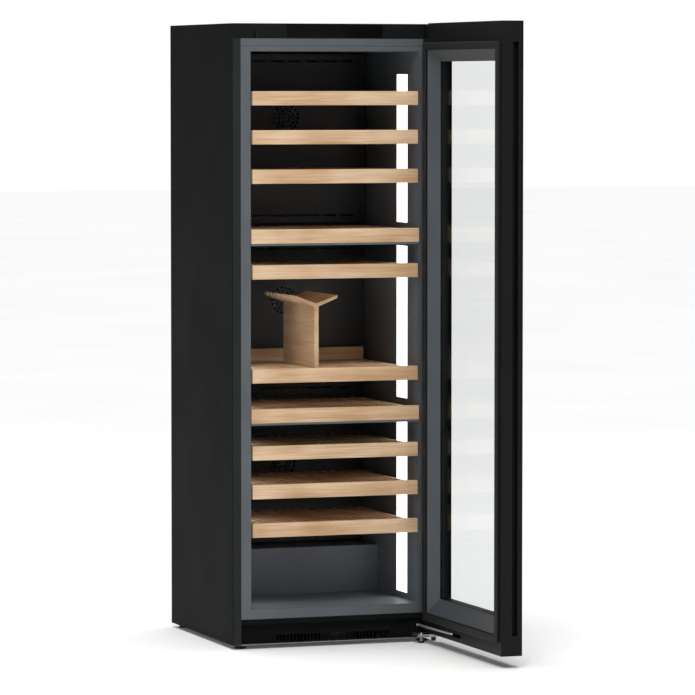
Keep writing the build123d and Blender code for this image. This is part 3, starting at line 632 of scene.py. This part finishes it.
class WINE_OT_casing(PieceOperator, bpy.types.Operator):
    """Build the folded steel casing with its screws"""
    bl_idname = "wine.casing"
    bl_label = "Casing"

    def build(self, context):
        """Side panels with bent front corners, top, rear and base."""
        casing = context.scene.wine_casing
        for side, sign in (("left", -1), ("right", 1)):
            node = f"side_panel_{side}"
            self.side_panel(node, sign, casing)
        eased_copy("top_panel", "cabinet", "black_sheet", "casing", casing.edge)
        eased_copy("rear_panel", "cabinet", "galvanised", "galvanised", 0.3 * MM, 1)
        coat_node("base_pan", "galvanised")
        self.screws()

    def side_panel(self, node, sign, casing):
        """The folded sheet, its front corner bent to a radius and its flange a shade lighter: painted
        light on the same black coat, where light falls on the front.
        """
        low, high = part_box(node)
        outer = max(high.x, -low.x) * sign
        bm = cad_shape(node)
        corner = [line for line in bm.edges
                  if all(abs(v.co.x - outer) < 0.1 * MM and abs(v.co.y - low.y) < 0.1 * MM
                         for v in line.verts)]
        bmesh.ops.bevel(bm, geom=corner, offset=casing.bend_radius, segments=6, profile=0.5,
                        affect="EDGES")
        # the front-facing faces take the lighter coat, a painted highlight for the light on the front
        for face in bm.faces:
            if face.normal.y < -0.9 and face.calc_center_median().y < low.y + 1 * MM:
                face.material_index = 1
        piece = from_bmesh(f"{node}_finished", bm, ["casing", "flange_painted_light"], 0.3 * MM, 1)
        settle(piece, "cabinet", "black_sheet", node)

    def screws(self):
        """Pan-head screws along both edges of the rear panel."""
        low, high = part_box("rear_screws")
        radius = 4.5 * MM
        bm = bmesh.new()
        for x in (low.x + radius, high.x - radius):
            for level in SCREW_LEVELS:
                self.screw(bm, radius, Matrix.Translation((x, high.y - 2.4 * MM, level)))
        piece = from_bmesh("rear_screws_finished", bm, ["zinc", "nylon"])
        settle(piece, "cabinet", "zinc_steel", "rear_screws")

    def screw(self, bm, radius, place):
        """One head, turned to face the rear. A thin black cross stands for its recess: painted shade,
        where the hollow would be dark.
        """
        before = set(bm.verts)
        lathe(bm, [(radius * 0.98, 0), (radius, 0.3 * MM), (radius * 0.92, 1.3 * MM),
                   (radius * 0.62, 2.1 * MM), (radius * 0.25, 2.3 * MM)], (0, 0, 0), 20)
        # the cross takes the black nylon finish as painted shade for the recess
        for a, b in ((1.8 * MM, 0.45 * MM), (0.45 * MM, 1.8 * MM)):
            slab(bm, (-a, -b, 2.0 * MM), (a, b, 2.36 * MM), 1)
        bmesh.ops.transform(bm, verts=[v for v in bm.verts if v not in before],
                            matrix=place @ Matrix.Rotation(-math.pi / 2, 4, "X"))


class WINE_OT_interior(PieceOperator, bpy.types.Operator):
    """Build the interior: liner, frame round the opening, dividers and light columns"""
    bl_idname = "wine.interior"
    bl_label = "Interior"

    def build(self, context):
        """Liner and moulded frames, then the light columns."""
        casing = context.scene.wine_casing
        coat_node("inner_liner", "liner")
        coat_node("foam_insulation", "foam")
        eased_copy("front_frame", "cabinet", "grey_plastic", "trim", 0.6 * MM)
        eased_copy("front_crossbar", "cabinet", "black_sheet", "casing", casing.edge)
        eased_copy("zone_dividers", "cabinet", "dark_plastic", "divider", 0.6 * MM)
        eased_copy("plinth_panel", "cabinet", "black_sheet", "casing", 0.3 * MM, 1)
        self.light_columns()

    def light_columns(self):
        """Opal covers with a rim, flush in both side walls."""
        bm = cad_shape("light_columns")
        flat = [f for f in bm.faces if abs(abs(f.normal.x) - 1) < 0.01
                and abs(abs(f.calc_center_median().x) - SIDE_WALL) < 1 * MM]
        inner = bmesh.ops.inset_individual(bm, faces=flat, thickness=2.0 * MM, depth=0)
        for face in inner["faces"]:
            face.material_index = 1
        bmesh.ops.inset_individual(bm, faces=flat, thickness=0.6 * MM, depth=-0.4 * MM)
        piece = from_bmesh("light_columns_finished", bm, ["light", "charcoal"])
        settle(piece, "cabinet", "light", "light_columns")


class WINE_OT_shelves(PieceOperator, bpy.types.Operator):
    """Build the beech shelves, the fence and the glass rack"""
    bl_idname = "wine.shelves"
    bl_label = "Shelves"

    def build(self, context):
        """Sliding and fixed decks, then what stands on the sixth."""
        shelves = context.scene.wine_shelves
        for node in SLIDING:
            low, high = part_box(node)
            self.deck(shelves, node[:8], node[:8], node, low, high)
        low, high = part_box("fixed_shelf_decks")
        height = SHELF_HEIGHT
        for name, top in (("shelf_04", high.z), ("shelf_07", low.z + height)):
            self.deck(shelves, name, "cabinet", "fixed_shelf_decks",
                      Vector((low.x, low.y, top - height)), Vector((high.x, high.y, top)))
        eased_copy("bottle_fence", "shelf_06", "beech", "beech_x", 0.8 * MM)
        eased_copy("glass_rack", "shelf_06", "beech", "beech_y", 0.8 * MM)

    def deck(self, shelves, name, body, node, low, high):
        """Front board, battens and a row of slats."""
        board_rear = low.y + BOARD_THICKNESS
        slat_top = high.z - DECK_DROP
        slat_low = slat_top - shelves.slat_thickness
        bm = bmesh.new()
        prism(bm, rounded((low.y, low.z), (board_rear, high.z), shelves.board_edge),
              low.x, high.x, "X")
        batten_half = low.x + (0.0125 if body != "cabinet" else 0.0165)
        for place in BATTENS:
            prism(bm, rounded((place - 12 * MM, slat_low - 8 * MM), (place + 12 * MM, slat_low),
                              1.0 * MM, 2), batten_half, -batten_half, "X")
        board = from_bmesh(f"{name}_board", bm, ["beech_x"])
        settle(board, body, "beech", node)
        unit = bmesh.new()
        half = shelves.slat_width / 2
        prism(unit, rounded((-half, slat_low), (half, slat_top), shelves.slat_edge, 2),
              board_rear, high.y, "Y")
        first = -shelves.slat_pitch * (shelves.slats - 1) / 2
        slats = repeated(f"{name}_slats", unit, "beech_y", shelves.slats, (first, 0, 0),
                         (shelves.slat_pitch, 0, 0))
        settle(slats, body, "beech", node)


class WINE_OT_runners(PieceOperator, bpy.types.Operator):
    """Build the telescopic runners"""
    bl_idname = "wine.runners"
    bl_label = "Runners"

    def build(self, context):
        """Fixed channels with rolled lips, and the rails that slide in them."""
        channels = bmesh.new()
        for node in SLIDING:
            rails = node.replace("_deck", "_rails")
            low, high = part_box(rails)
            level = low.z + 8.1 * MM
            bm = bmesh.new()
            for sign in (-1, 1):
                self.channel(channels, sign, level, low.y, high.y)
                self.rail(bm, sign, level, low, high)
            piece = from_bmesh(f"{rails}_finished", bm, ["rail"])
            settle(piece, node[:8], "runner_steel", rails)
        piece = from_bmesh("cabinet_runners_finished", channels, ["rail"])
        settle(piece, "cabinet", "runner_steel", "cabinet_runners")

    def channel(self, bm, sign, level, front, rear):
        """A rolled steel channel that opens towards the shelf."""
        wall, reach, half, sheet = SIDE_WALL, 12 * MM, 10 * MM, 1.5 * MM
        outline = [(wall - reach, half - sheet), (wall - reach, half), (wall - 2 * MM, half)]
        outline += arc((wall - 2 * MM, half - 2 * MM), 2 * MM, 90, 0, 4)
        outline += arc((wall - 2 * MM, 2 * MM - half), 2 * MM, 0, -90, 4)
        outline += [(wall - reach, -half), (wall - reach, sheet - half), (wall - sheet, sheet - half),
                    (wall - sheet, half - sheet)]
        points = [(sign * x, level + z) for x, z in outline]
        prism(bm, points, front, rear, "Y")

    def rail(self, bm, sign, level, low, high):
        """A rail with a hollow face, hung from a flat web."""
        web, tip, half = 274 * MM, high.x, 8.1 * MM
        outline = [(web, high.z - level), (web + 2 * MM, high.z - level), (web + 2 * MM, half)]
        outline += arc((tip - 1.5 * MM, half - 1.5 * MM), 1.5 * MM, 90, 0, 3)
        outline += [(tip, 4 * MM), (tip - 2.5 * MM, 2 * MM), (tip - 2.5 * MM, -2 * MM), (tip, -4 * MM)]
        outline += arc((tip - 1.5 * MM, 1.5 * MM - half), 1.5 * MM, 0, -90, 3)
        outline += [(web, -half)]
        points = [(sign * x, level + z) for x, z in outline]
        prism(bm, points, low.y, high.y, "Y")


class WINE_OT_air(PieceOperator, bpy.types.Operator):
    """Build the air panels, fans and coils"""
    bl_idname = "wine.air"
    bl_label = "Air panels and fans"

    def build(self, context):
        """One panel and one fan for each zone, and the coils behind."""
        for zone in ("top", "middle", "bottom"):
            eased_copy(f"air_panel_{zone}", "cabinet", "liner", "air_panel", 0.3 * MM, 1)
            self.fan(zone)
        self.coil("evaporators", 48, EVAPORATOR_LEVELS, EVAPORATOR_HEIGHT)
        self.coil("condenser", 44, [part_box("condenser")[0].z], CONDENSER_HEIGHT)

    def fan(self, zone):
        """A domed hub with seven twisted blades."""
        node = f"fan_{zone}"
        low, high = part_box(node)
        centre = Vector(next(j["pos_m"] for j in frame["joints"] if j["name"] == f"{node}_spin"))
        turn = Matrix.Rotation(-math.pi / 2, 3, "X")
        hub = bmesh.new()
        lathe(hub, [(9 * MM, 0), (15 * MM, 0.8 * MM), (17.6 * MM, 3 * MM), (18 * MM, 5 * MM),
                    (18 * MM, 18 * MM), (3 * MM, 18 * MM), (3 * MM, high.y - low.y)], (0, 0, 0), 40)
        bmesh.ops.rotate(hub, verts=hub.verts, matrix=turn)
        bmesh.ops.translate(hub, verts=hub.verts, vec=(centre.x, low.y, centre.z))
        piece = from_bmesh(f"{node}_hub", hub, ["nylon"])
        settle(piece, node, "nylon", node)
        blade = bmesh.new()
        rows = []
        for i in range(6):
            radius = (17 + 27.5 * i / 5) * MM
            twist = math.radians(48 - 20 * i / 5)
            chord = (7.5 + 2.2 * i / 5) * MM
            a, b = chord * math.cos(twist), chord * math.sin(twist)
            thick = 0.7 * MM
            rows.append([blade.verts.new((radius, 9 * MM + dy, dz)) for dy, dz in
                         ((-b, -a), (thick, -0.1 * a), (b, a), (-thick, 0.1 * a))])
        for inner, outer in zip(rows, rows[1:]):
            for k in range(4):
                blade.faces.new((inner[k], inner[(k + 1) % 4], outer[(k + 1) % 4], outer[k]))
        blade.faces.new(rows[0])
        blade.faces.new(list(reversed(rows[-1])))
        piece = repeated(f"{node}_blades", blade, "nylon", 7, (centre.x, low.y, centre.z), ring=True)
        settle(piece, node, "nylon", node)

    def coil(self, node, fins, levels, block_height):
        """Blocks of thin fins on straight copper tubes, one block at each level."""
        low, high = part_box(node)
        bare_end = 12 * MM
        for number, level in enumerate(levels, 1):
            fin = bmesh.new()
            slab(fin, (0, low.y, level), (FIN_THICKNESS, high.y, level + block_height))
            left = low.x + bare_end
            pitch = (high.x - low.x - 2 * bare_end - FIN_THICKNESS) / (fins - 1)
            piece = repeated(f"{node}_fins_{number}", fin, "fins", fins, (left, 0, 0), (pitch, 0, 0))
            settle(piece, "cabinet", "aluminium_fins", node)
            tubes = bmesh.new()
            middle = (low.y + high.y) / 2
            for row in (-1, 0, 1):
                z = level + block_height * (0.5 + row / 3)
                outline = arc((middle, z), 4 * MM, 0, 330, 11)
                prism(tubes, outline, low.x, high.x, "X")
            piece = from_bmesh(f"{node}_tubes_{number}", tubes, ["copper"], 0.8 * MM)
            settle(piece, "cabinet", "aluminium_fins", node)


class WINE_OT_controls(PieceOperator, bpy.types.Operator):
    """Build the control panel"""
    bl_idname = "wine.controls"
    bl_label = "Control panel"

    def build(self, context):
        """Panel body and black touch glass."""
        eased_copy("control_fascia", "cabinet", "dark_plastic", "charcoal", 0.5 * MM)
        low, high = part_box("control_glass")
        bm = bmesh.new()
        prism(bm, rounded((low.x, low.z), (high.x, high.z), 0.8 * MM), low.y, high.y, "Y")
        piece = from_bmesh("control_glass_finished", bm, ["display"], 0.5 * MM)
        settle(piece, "cabinet", "black_glass", "control_glass")


class WINE_OT_hinges(PieceOperator, bpy.types.Operator):
    """Build both hinges, the damper arm and the feet"""
    bl_idname = "wine.hinges"
    bl_label = "Hinges and feet"

    def build(self, context):
        """Brackets, cover, arm and feet."""
        eased_copy("hinge_bracket_top", "cabinet", "zinc_steel", "charcoal", 0.6 * MM)
        eased_copy("hinge_cover_top", "cabinet", "dark_plastic", "charcoal", 0.6 * MM)
        self.lower_bracket()
        self.arm()
        for node in ("foot_front_left", "foot_front_right", "hinge_foot"):
            low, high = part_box(node)
            self.foot(node, node, [(low + high) / 2], high.x - low.x, high.z)
        low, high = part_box("rear_feet")
        size = high.y - low.y
        spots = [Vector((x, (low.y + high.y) / 2, 0)) for x in (low.x + size / 2, high.x - size / 2)]
        self.foot("rear_feet", "cabinet", spots, size, high.z)

    def lower_bracket(self):
        """Zinc-plated bracket, black at its lowest faces and coated like the casing at its post."""
        bm = cad_shape("hinge_bracket_bottom")
        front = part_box("front_crossbar")[0].y
        plate_bottom, plate_top = 21.9 * MM, 31 * MM
        for face in bm.faces:
            middle = face.calc_center_median()
            if middle.z < plate_bottom:
                face.material_index = 1
            elif middle.y > front or middle.z > plate_top:
                face.material_index = 2
        piece = from_bmesh("hinge_bracket_bottom_finished", bm, ["zinc", "nylon", "casing"], 0.8 * MM)
        settle(piece, "cabinet", "zinc_steel", "hinge_bracket_bottom")

    def arm(self):
        """Flat satin-chromed bar, tapered and rounded, with a cap over its pivot."""
        low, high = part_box("damper_arm")
        joint = Vector(next(j["pos_m"] for j in frame["joints"] if j["name"] == "damper_swing"))
        tip = Vector((joint.x + ARM_OFFSET, joint.y - math.sqrt(ARM_LENGTH ** 2 - ARM_OFFSET ** 2)))
        run = (tip - joint.xy).normalized()
        side = Vector((-run.y, run.x))
        reach = ARM_LENGTH
        outline = arc((0, 0), 6.8 * MM, 35, 325, 16)
        outline += [(20 * MM, -3.9 * MM), (reach - 30 * MM, -3.6 * MM), (reach - 3 * MM, -2.6 * MM)]
        outline += arc((reach - 3 * MM, 0), 2.6 * MM, -60, 60, 6)
        outline += [(reach - 30 * MM, 3.6 * MM), (20 * MM, 3.9 * MM)]
        points = [tuple(joint.xy + run * a + side * b) for a, b in outline]
        bm = bmesh.new()
        prism(bm, points, low.z + 0.5 * MM, high.z - 0.8 * MM, "Z")
        piece = from_bmesh("damper_arm_bar", bm, ["chrome"], 0.7 * MM, 3)
        settle(piece, "damper_arm", "chrome", "damper_arm")
        cap = bmesh.new()
        lathe(cap, [(5.6 * MM, 0), (5.6 * MM, 0.5 * MM), (4.4 * MM, 0.9 * MM)],
              (joint.x, joint.y, high.z - 0.9 * MM), 28)
        piece = from_bmesh("damper_arm_cap", cap, ["zinc"])
        settle(piece, "damper_arm", "chrome", "damper_arm")

    def foot(self, node, body, spots, size, top):
        """Moulded foot: round pad, hexagon and threaded stem."""
        bm = bmesh.new()
        pad = size / 2
        thread = [(r * MM, (12 + i * 0.75) * MM) for i, r in
                  enumerate([4.9, 4.3] * int((top / MM - 13) / 1.5))]
        for spot in spots:
            place = (spot.x, spot.y, 0)
            lathe(bm, [(pad * 0.90, 0), (pad * 0.985, 0.8 * MM), (pad, 2.2 * MM), (pad, 4.6 * MM),
                       (pad * 0.96, 5.6 * MM), (pad * 0.6, 6.8 * MM), (pad * 0.42, 7.9 * MM)],
                  place, 48)
            hexagon = [(spot.x + 0.46 * pad * math.cos(math.radians(60 * i)),
                        spot.y + 0.46 * pad * math.sin(math.radians(60 * i))) for i in range(6)]
            prism(bm, hexagon, 6.4 * MM, 8.0 * MM, "Z")
            lathe(bm, [(4.6 * MM, 6 * MM)] + thread + [(3.8 * MM, top - 0.1 * MM)], place, 24, 1)
        piece = from_bmesh(f"{node}_finished", bm, ["nylon", "zinc"])
        settle(piece, body, "nylon", node)


class WINE_OT_door(PieceOperator, bpy.types.Operator):
    """Build the door: panes, frames, gasket and bushes"""
    bl_idname = "wine.door"
    bl_label = "Door"

    def build(self, context):
        """From the outer glass inward."""
        door = context.scene.wine_door
        self.outer_glass(door)
        eased_copy("door_frame", "door", "dark_plastic", "charcoal", door.frame_edge)
        eased_copy("door_inner_frame", "door", "grey_plastic", "inner_frame", 0.6 * MM)
        self.inner_pane(door)
        self.spacer()
        self.gasket()
        eased_copy("door_bushes", "door", "nylon", "nylon", 0.4 * MM)

    def outer_glass(self, door):
        """Full-size pane: a black enamelled border round a clear window, and a ground arris."""
        low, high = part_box("door_outer_glass")
        seen_low, seen_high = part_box("glass_spacer")
        border = 9 * MM
        side_band = 15 * MM
        window = ((seen_low.y + side_band, seen_low.z + border),
                  (seen_high.y - side_band, seen_high.z - border))
        arris = door.glass_edge
        bm = bmesh.new()
        rings = [self.corners(bm, low.x, *window)]
        for x, inset in ((low.x, arris), (low.x + arris, 0), (high.x - arris, 0), (high.x, arris)):
            rings.append(self.corners(bm, x, (low.y + inset, low.z + inset),
                                      (high.y - inset, high.z - inset)))
        rings.append(self.corners(bm, high.x, *window))
        for first, second in zip(rings, rings[1:]):
            for k in range(4):
                face = bm.faces.new((first[k], first[(k + 1) % 4], second[(k + 1) % 4], second[k]))
                face.material_index = 1
        for ring in (rings[0], rings[-1]):
            bm.faces.new(ring)
        piece = from_bmesh("door_outer_glass_finished", bm, ["glass", "enamel"])
        settle(piece, "door", "clear_glass", "door_outer_glass")

    def corners(self, bm, x, low, high):
        """The four corners of an upright rectangle in the plane at x."""
        return [bm.verts.new((x, a, b)) for a, b in
                (low, (high[0], low[1]), high, (low[0], high[1]))]

    def spacer(self):
        """Mitred bar that keeps the panes apart, black like its sealant."""
        low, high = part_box("glass_spacer")
        bar = 9 * MM
        half_gap = 0.5 * MM
        section = [(0, half_gap), (bar - 1.5 * MM, half_gap), (bar, 2.5 * MM),
                   (bar, high.x - low.x - 2.5 * MM), (bar - 1.5 * MM, high.x - low.x - half_gap),
                   (0, high.x - low.x - half_gap)]
        bm = bmesh.new()
        ring_sweep(bm, section, (low.y, low.z), (high.y, high.z),
                   lambda a, b, height: (low.x + height, a, b))
        piece = from_bmesh("glass_spacer_finished", bm, ["sealant"], 0.3 * MM)
        settle(piece, "door", "dark_plastic", "glass_spacer")

    def inner_pane(self, door):
        """Inner pane with a polished arris."""
        low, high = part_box("door_inner_glass")
        bm = bmesh.new()
        prism(bm, rounded((low.y, low.z), (high.y, high.z), 2 * MM), low.x, high.x, "X")
        piece = from_bmesh("door_inner_glass_finished", bm, ["glass"], door.glass_edge / 2)
        settle(piece, "door", "clear_glass", "door_inner_glass")

    def gasket(self):
        """Magnetic gasket: a dart foot, a soft bellows and a flat magnet lip, mitred at the corners."""
        low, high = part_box("door_gasket")
        depth = high.x - low.x
        section = [(2, 0), (22, 0), (21, 1.4), (19.5, 2.2), (20.5, 3.2), (23.4, 4.0), (24, 5.4),
                   (24, 8.2), (23, 9.2), (20, depth / MM), (6, depth / MM), (2, 9.0), (0.6, 7.8),
                   (0.2, 6.2), (1.4, 4.6), (4.2, 3.6), (4.6, 2.4), (3, 1.4)]
        bm = bmesh.new()
        ring_sweep(bm, [(a * MM, b * MM) for a, b in section], (low.y, low.z), (high.y, high.z),
                   lambda a, b, height: (high.x - height, a, b))
        piece = from_bmesh("door_gasket_finished", bm, ["gasket"], smooth_angle=50)
        settle(piece, "door", "gasket", "door_gasket")


class WINE_OT_machine(PieceOperator, bpy.types.Operator):
    """Build what stands in the machine room"""
    bl_idname = "wine.machine"
    bl_label = "Machine room"

    def build(self, context):
        """Compressor and mains socket."""
        low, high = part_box("compressor")
        middle = (low + high) / 2
        bm = bmesh.new()
        radius = (high.y - low.y) / 2
        start, height = 12 * MM, high.z - low.z
        profile = [(radius * 0.90, start), (radius * 0.97, start + 6 * MM), (radius, start + 20 * MM),
                   (radius, height * 0.55), (radius, height * 0.56), (radius * 0.985, height * 0.57),
                   (radius * 0.985, height * 0.72), (radius * 0.93, height * 0.84),
                   (radius * 0.76, height * 0.93), (radius * 0.45, height * 0.985),
                   (radius * 0.06, height)]
        lathe(bm, profile, (middle.x, middle.y, low.z), 56)
        slab(bm, (low.x, middle.y - 60 * MM, low.z + 11 * MM),
             (high.x, middle.y + 60 * MM, low.z + 13.5 * MM))
        for x in (low.x + 14 * MM, high.x - 14 * MM):
            for y in (middle.y - 48 * MM, middle.y + 48 * MM):
                lathe(bm, [(8 * MM, 0), (9 * MM, 2 * MM), (6.5 * MM, 5 * MM), (9 * MM, 8 * MM),
                           (8 * MM, 11 * MM)], (x, y, low.z), 20, 1)
        piece = from_bmesh("compressor_finished", bm, ["shell", "gasket"])
        settle(piece, "cabinet", "compressor_shell", "compressor")
        eased_copy("power_inlet", "cabinet", "dark_plastic", "nylon", 0.4 * MM)


class WINE_OT_stage(PieceOperator, bpy.types.Operator):
    """Build the floor, the lights and the camera"""
    bl_idname = "wine.stage"
    bl_label = "Stage"

    def build(self, context):
        """Pale floor, soft light and the camera."""
        scene, stage = context.scene, context.scene.wine_stage
        self.floor()
        self.light("key_softbox", (-1.2, -4.6, 6.2), (0.1, -0.3, 1.1), (3.4, 2.2), 220)
        self.sky(scene, stage)
        self.daylight(stage)
        lens = bpy.data.cameras.new("camera")
        lens.sensor_width = 36
        lens.lens = stage.lens
        lens.clip_end = 100
        camera = bpy.data.objects.new("camera", lens)
        scene.collection.objects.link(camera)
        yaw, pitch = stage.yaw, stage.pitch
        heading = Vector((math.sin(yaw) * math.cos(pitch), math.cos(yaw) * math.cos(pitch),
                          math.sin(pitch)))
        camera.location = stage.camera_place
        camera.rotation_euler = heading.to_track_quat("-Z", "Y").to_euler()
        scene.camera = camera
        scene.view_settings.view_transform = "Standard"

    def sky(self, scene, stage):
        """Surroundings that are white to the camera and through glass, and dim as a light."""
        world = bpy.data.worlds.new("studio_air")
        scene.world = world
        world.use_nodes = True
        tree = world.node_tree
        rays = add_node(tree, "ShaderNodeLightPath")
        seen = add_node(tree, "ShaderNodeMath", {0: rays.outputs["Is Camera Ray"],
                                                 1: rays.outputs["Is Transmission Ray"]},
                        operation="MAXIMUM")
        strength = add_node(tree, "ShaderNodeMapRange", {"Value": seen.outputs["Value"]},
                            To_Min=stage.ambient, To_Max=1.0)
        background = tree.nodes["Background"]
        background.inputs["Color"].default_value = (1, 1, 1, 1)
        tree.links.new(strength.outputs["Result"], background.inputs["Strength"])

    def daylight(self, stage):
        """A very large soft source overhead, which evens out the floor."""
        lamp = bpy.data.lights.new("overhead_silk", "SUN")
        lamp.energy = stage.overhead
        lamp.angle = math.radians(60)
        piece = bpy.data.objects.new("overhead_silk", lamp)
        piece.rotation_euler = Vector((0.05, -0.15, -1.0)).to_track_quat("-Z", "Y").to_euler()
        bpy.context.scene.collection.objects.link(piece)

    def floor(self):
        """A wide pale floor, which glows faintly so that it stays pale in the distance."""
        material, tree, surface, place = new_material("matt_white_floor", linear("#f4f4f4"), 0.65,
                                                      Emission_Strength=0.04)
        surface.inputs["Emission Color"].default_value = (1, 1, 1, 1)
        dust = grain_noise(tree, place, 1.5)
        tree.links.new(tinted(tree, tone_range(tree, dust.outputs["Fac"], 0, 1), linear("#f2f2f2"),
                              linear("#f6f6f6")), surface.inputs["Base Color"])
        FINISH["floor"] = material
        bm = bmesh.new()
        slab(bm, (-30, -30, -0.02), (30, 60, 0))
        from_bmesh("studio_floor", bm, ["floor"])

    def light(self, name, place, target, size, power):
        """A rectangular softbox aimed at a point."""
        lamp = bpy.data.lights.new(name, "AREA")
        lamp.shape = "RECTANGLE"
        lamp.size, lamp.size_y = size
        lamp.energy = power
        piece = bpy.data.objects.new(name, lamp)
        piece.location = place
        piece.rotation_euler = (Vector(target) - Vector(place)).to_track_quat("-Z", "Y").to_euler()
        bpy.context.scene.collection.objects.link(piece)


class WINE_PT_panel(bpy.types.Panel):
    """Lists the operators of the cooler."""
    bl_idname = "WINE_PT_panel"
    bl_label = "Wine Cooler"
    bl_space_type = "VIEW_3D"
    bl_region_type = "UI"
    bl_category = "Wine Cooler"

    def draw(self, context):
        """One button for each operator, in order, and the settings."""
        for operator in OPERATORS:
            self.layout.operator(operator.bl_idname)
        for key, group in SETTINGS.items():
            box = self.layout.box()
            for name in group.__annotations__:
                box.prop(getattr(context.scene, key), name)


OPERATORS = (WINE_OT_finishes, WINE_OT_casing, WINE_OT_interior, WINE_OT_shelves, WINE_OT_runners,
             WINE_OT_air, WINE_OT_controls, WINE_OT_hinges, WINE_OT_door, WINE_OT_machine,
             WINE_OT_stage)
CLASSES = (*SETTINGS.values(), *OPERATORS, WINE_PT_panel)


def register():
    """Registers the classes and hangs the settings on the scene."""
    for item in CLASSES:
        bpy.utils.register_class(item)
    for key, group in SETTINGS.items():
        setattr(bpy.types.Scene, key, PointerProperty(type=group))


def unregister():
    """Takes it all away again."""
    for key in SETTINGS:
        delattr(bpy.types.Scene, key)
    for item in reversed(CLASSES):
        bpy.utils.unregister_class(item)


def main():
    """Builds everything."""
    register()
    for operator in OPERATORS:
        group, name = operator.bl_idname.split(".")
        getattr(getattr(bpy.ops, group), name)()


if __name__ == "__main__":
    main()
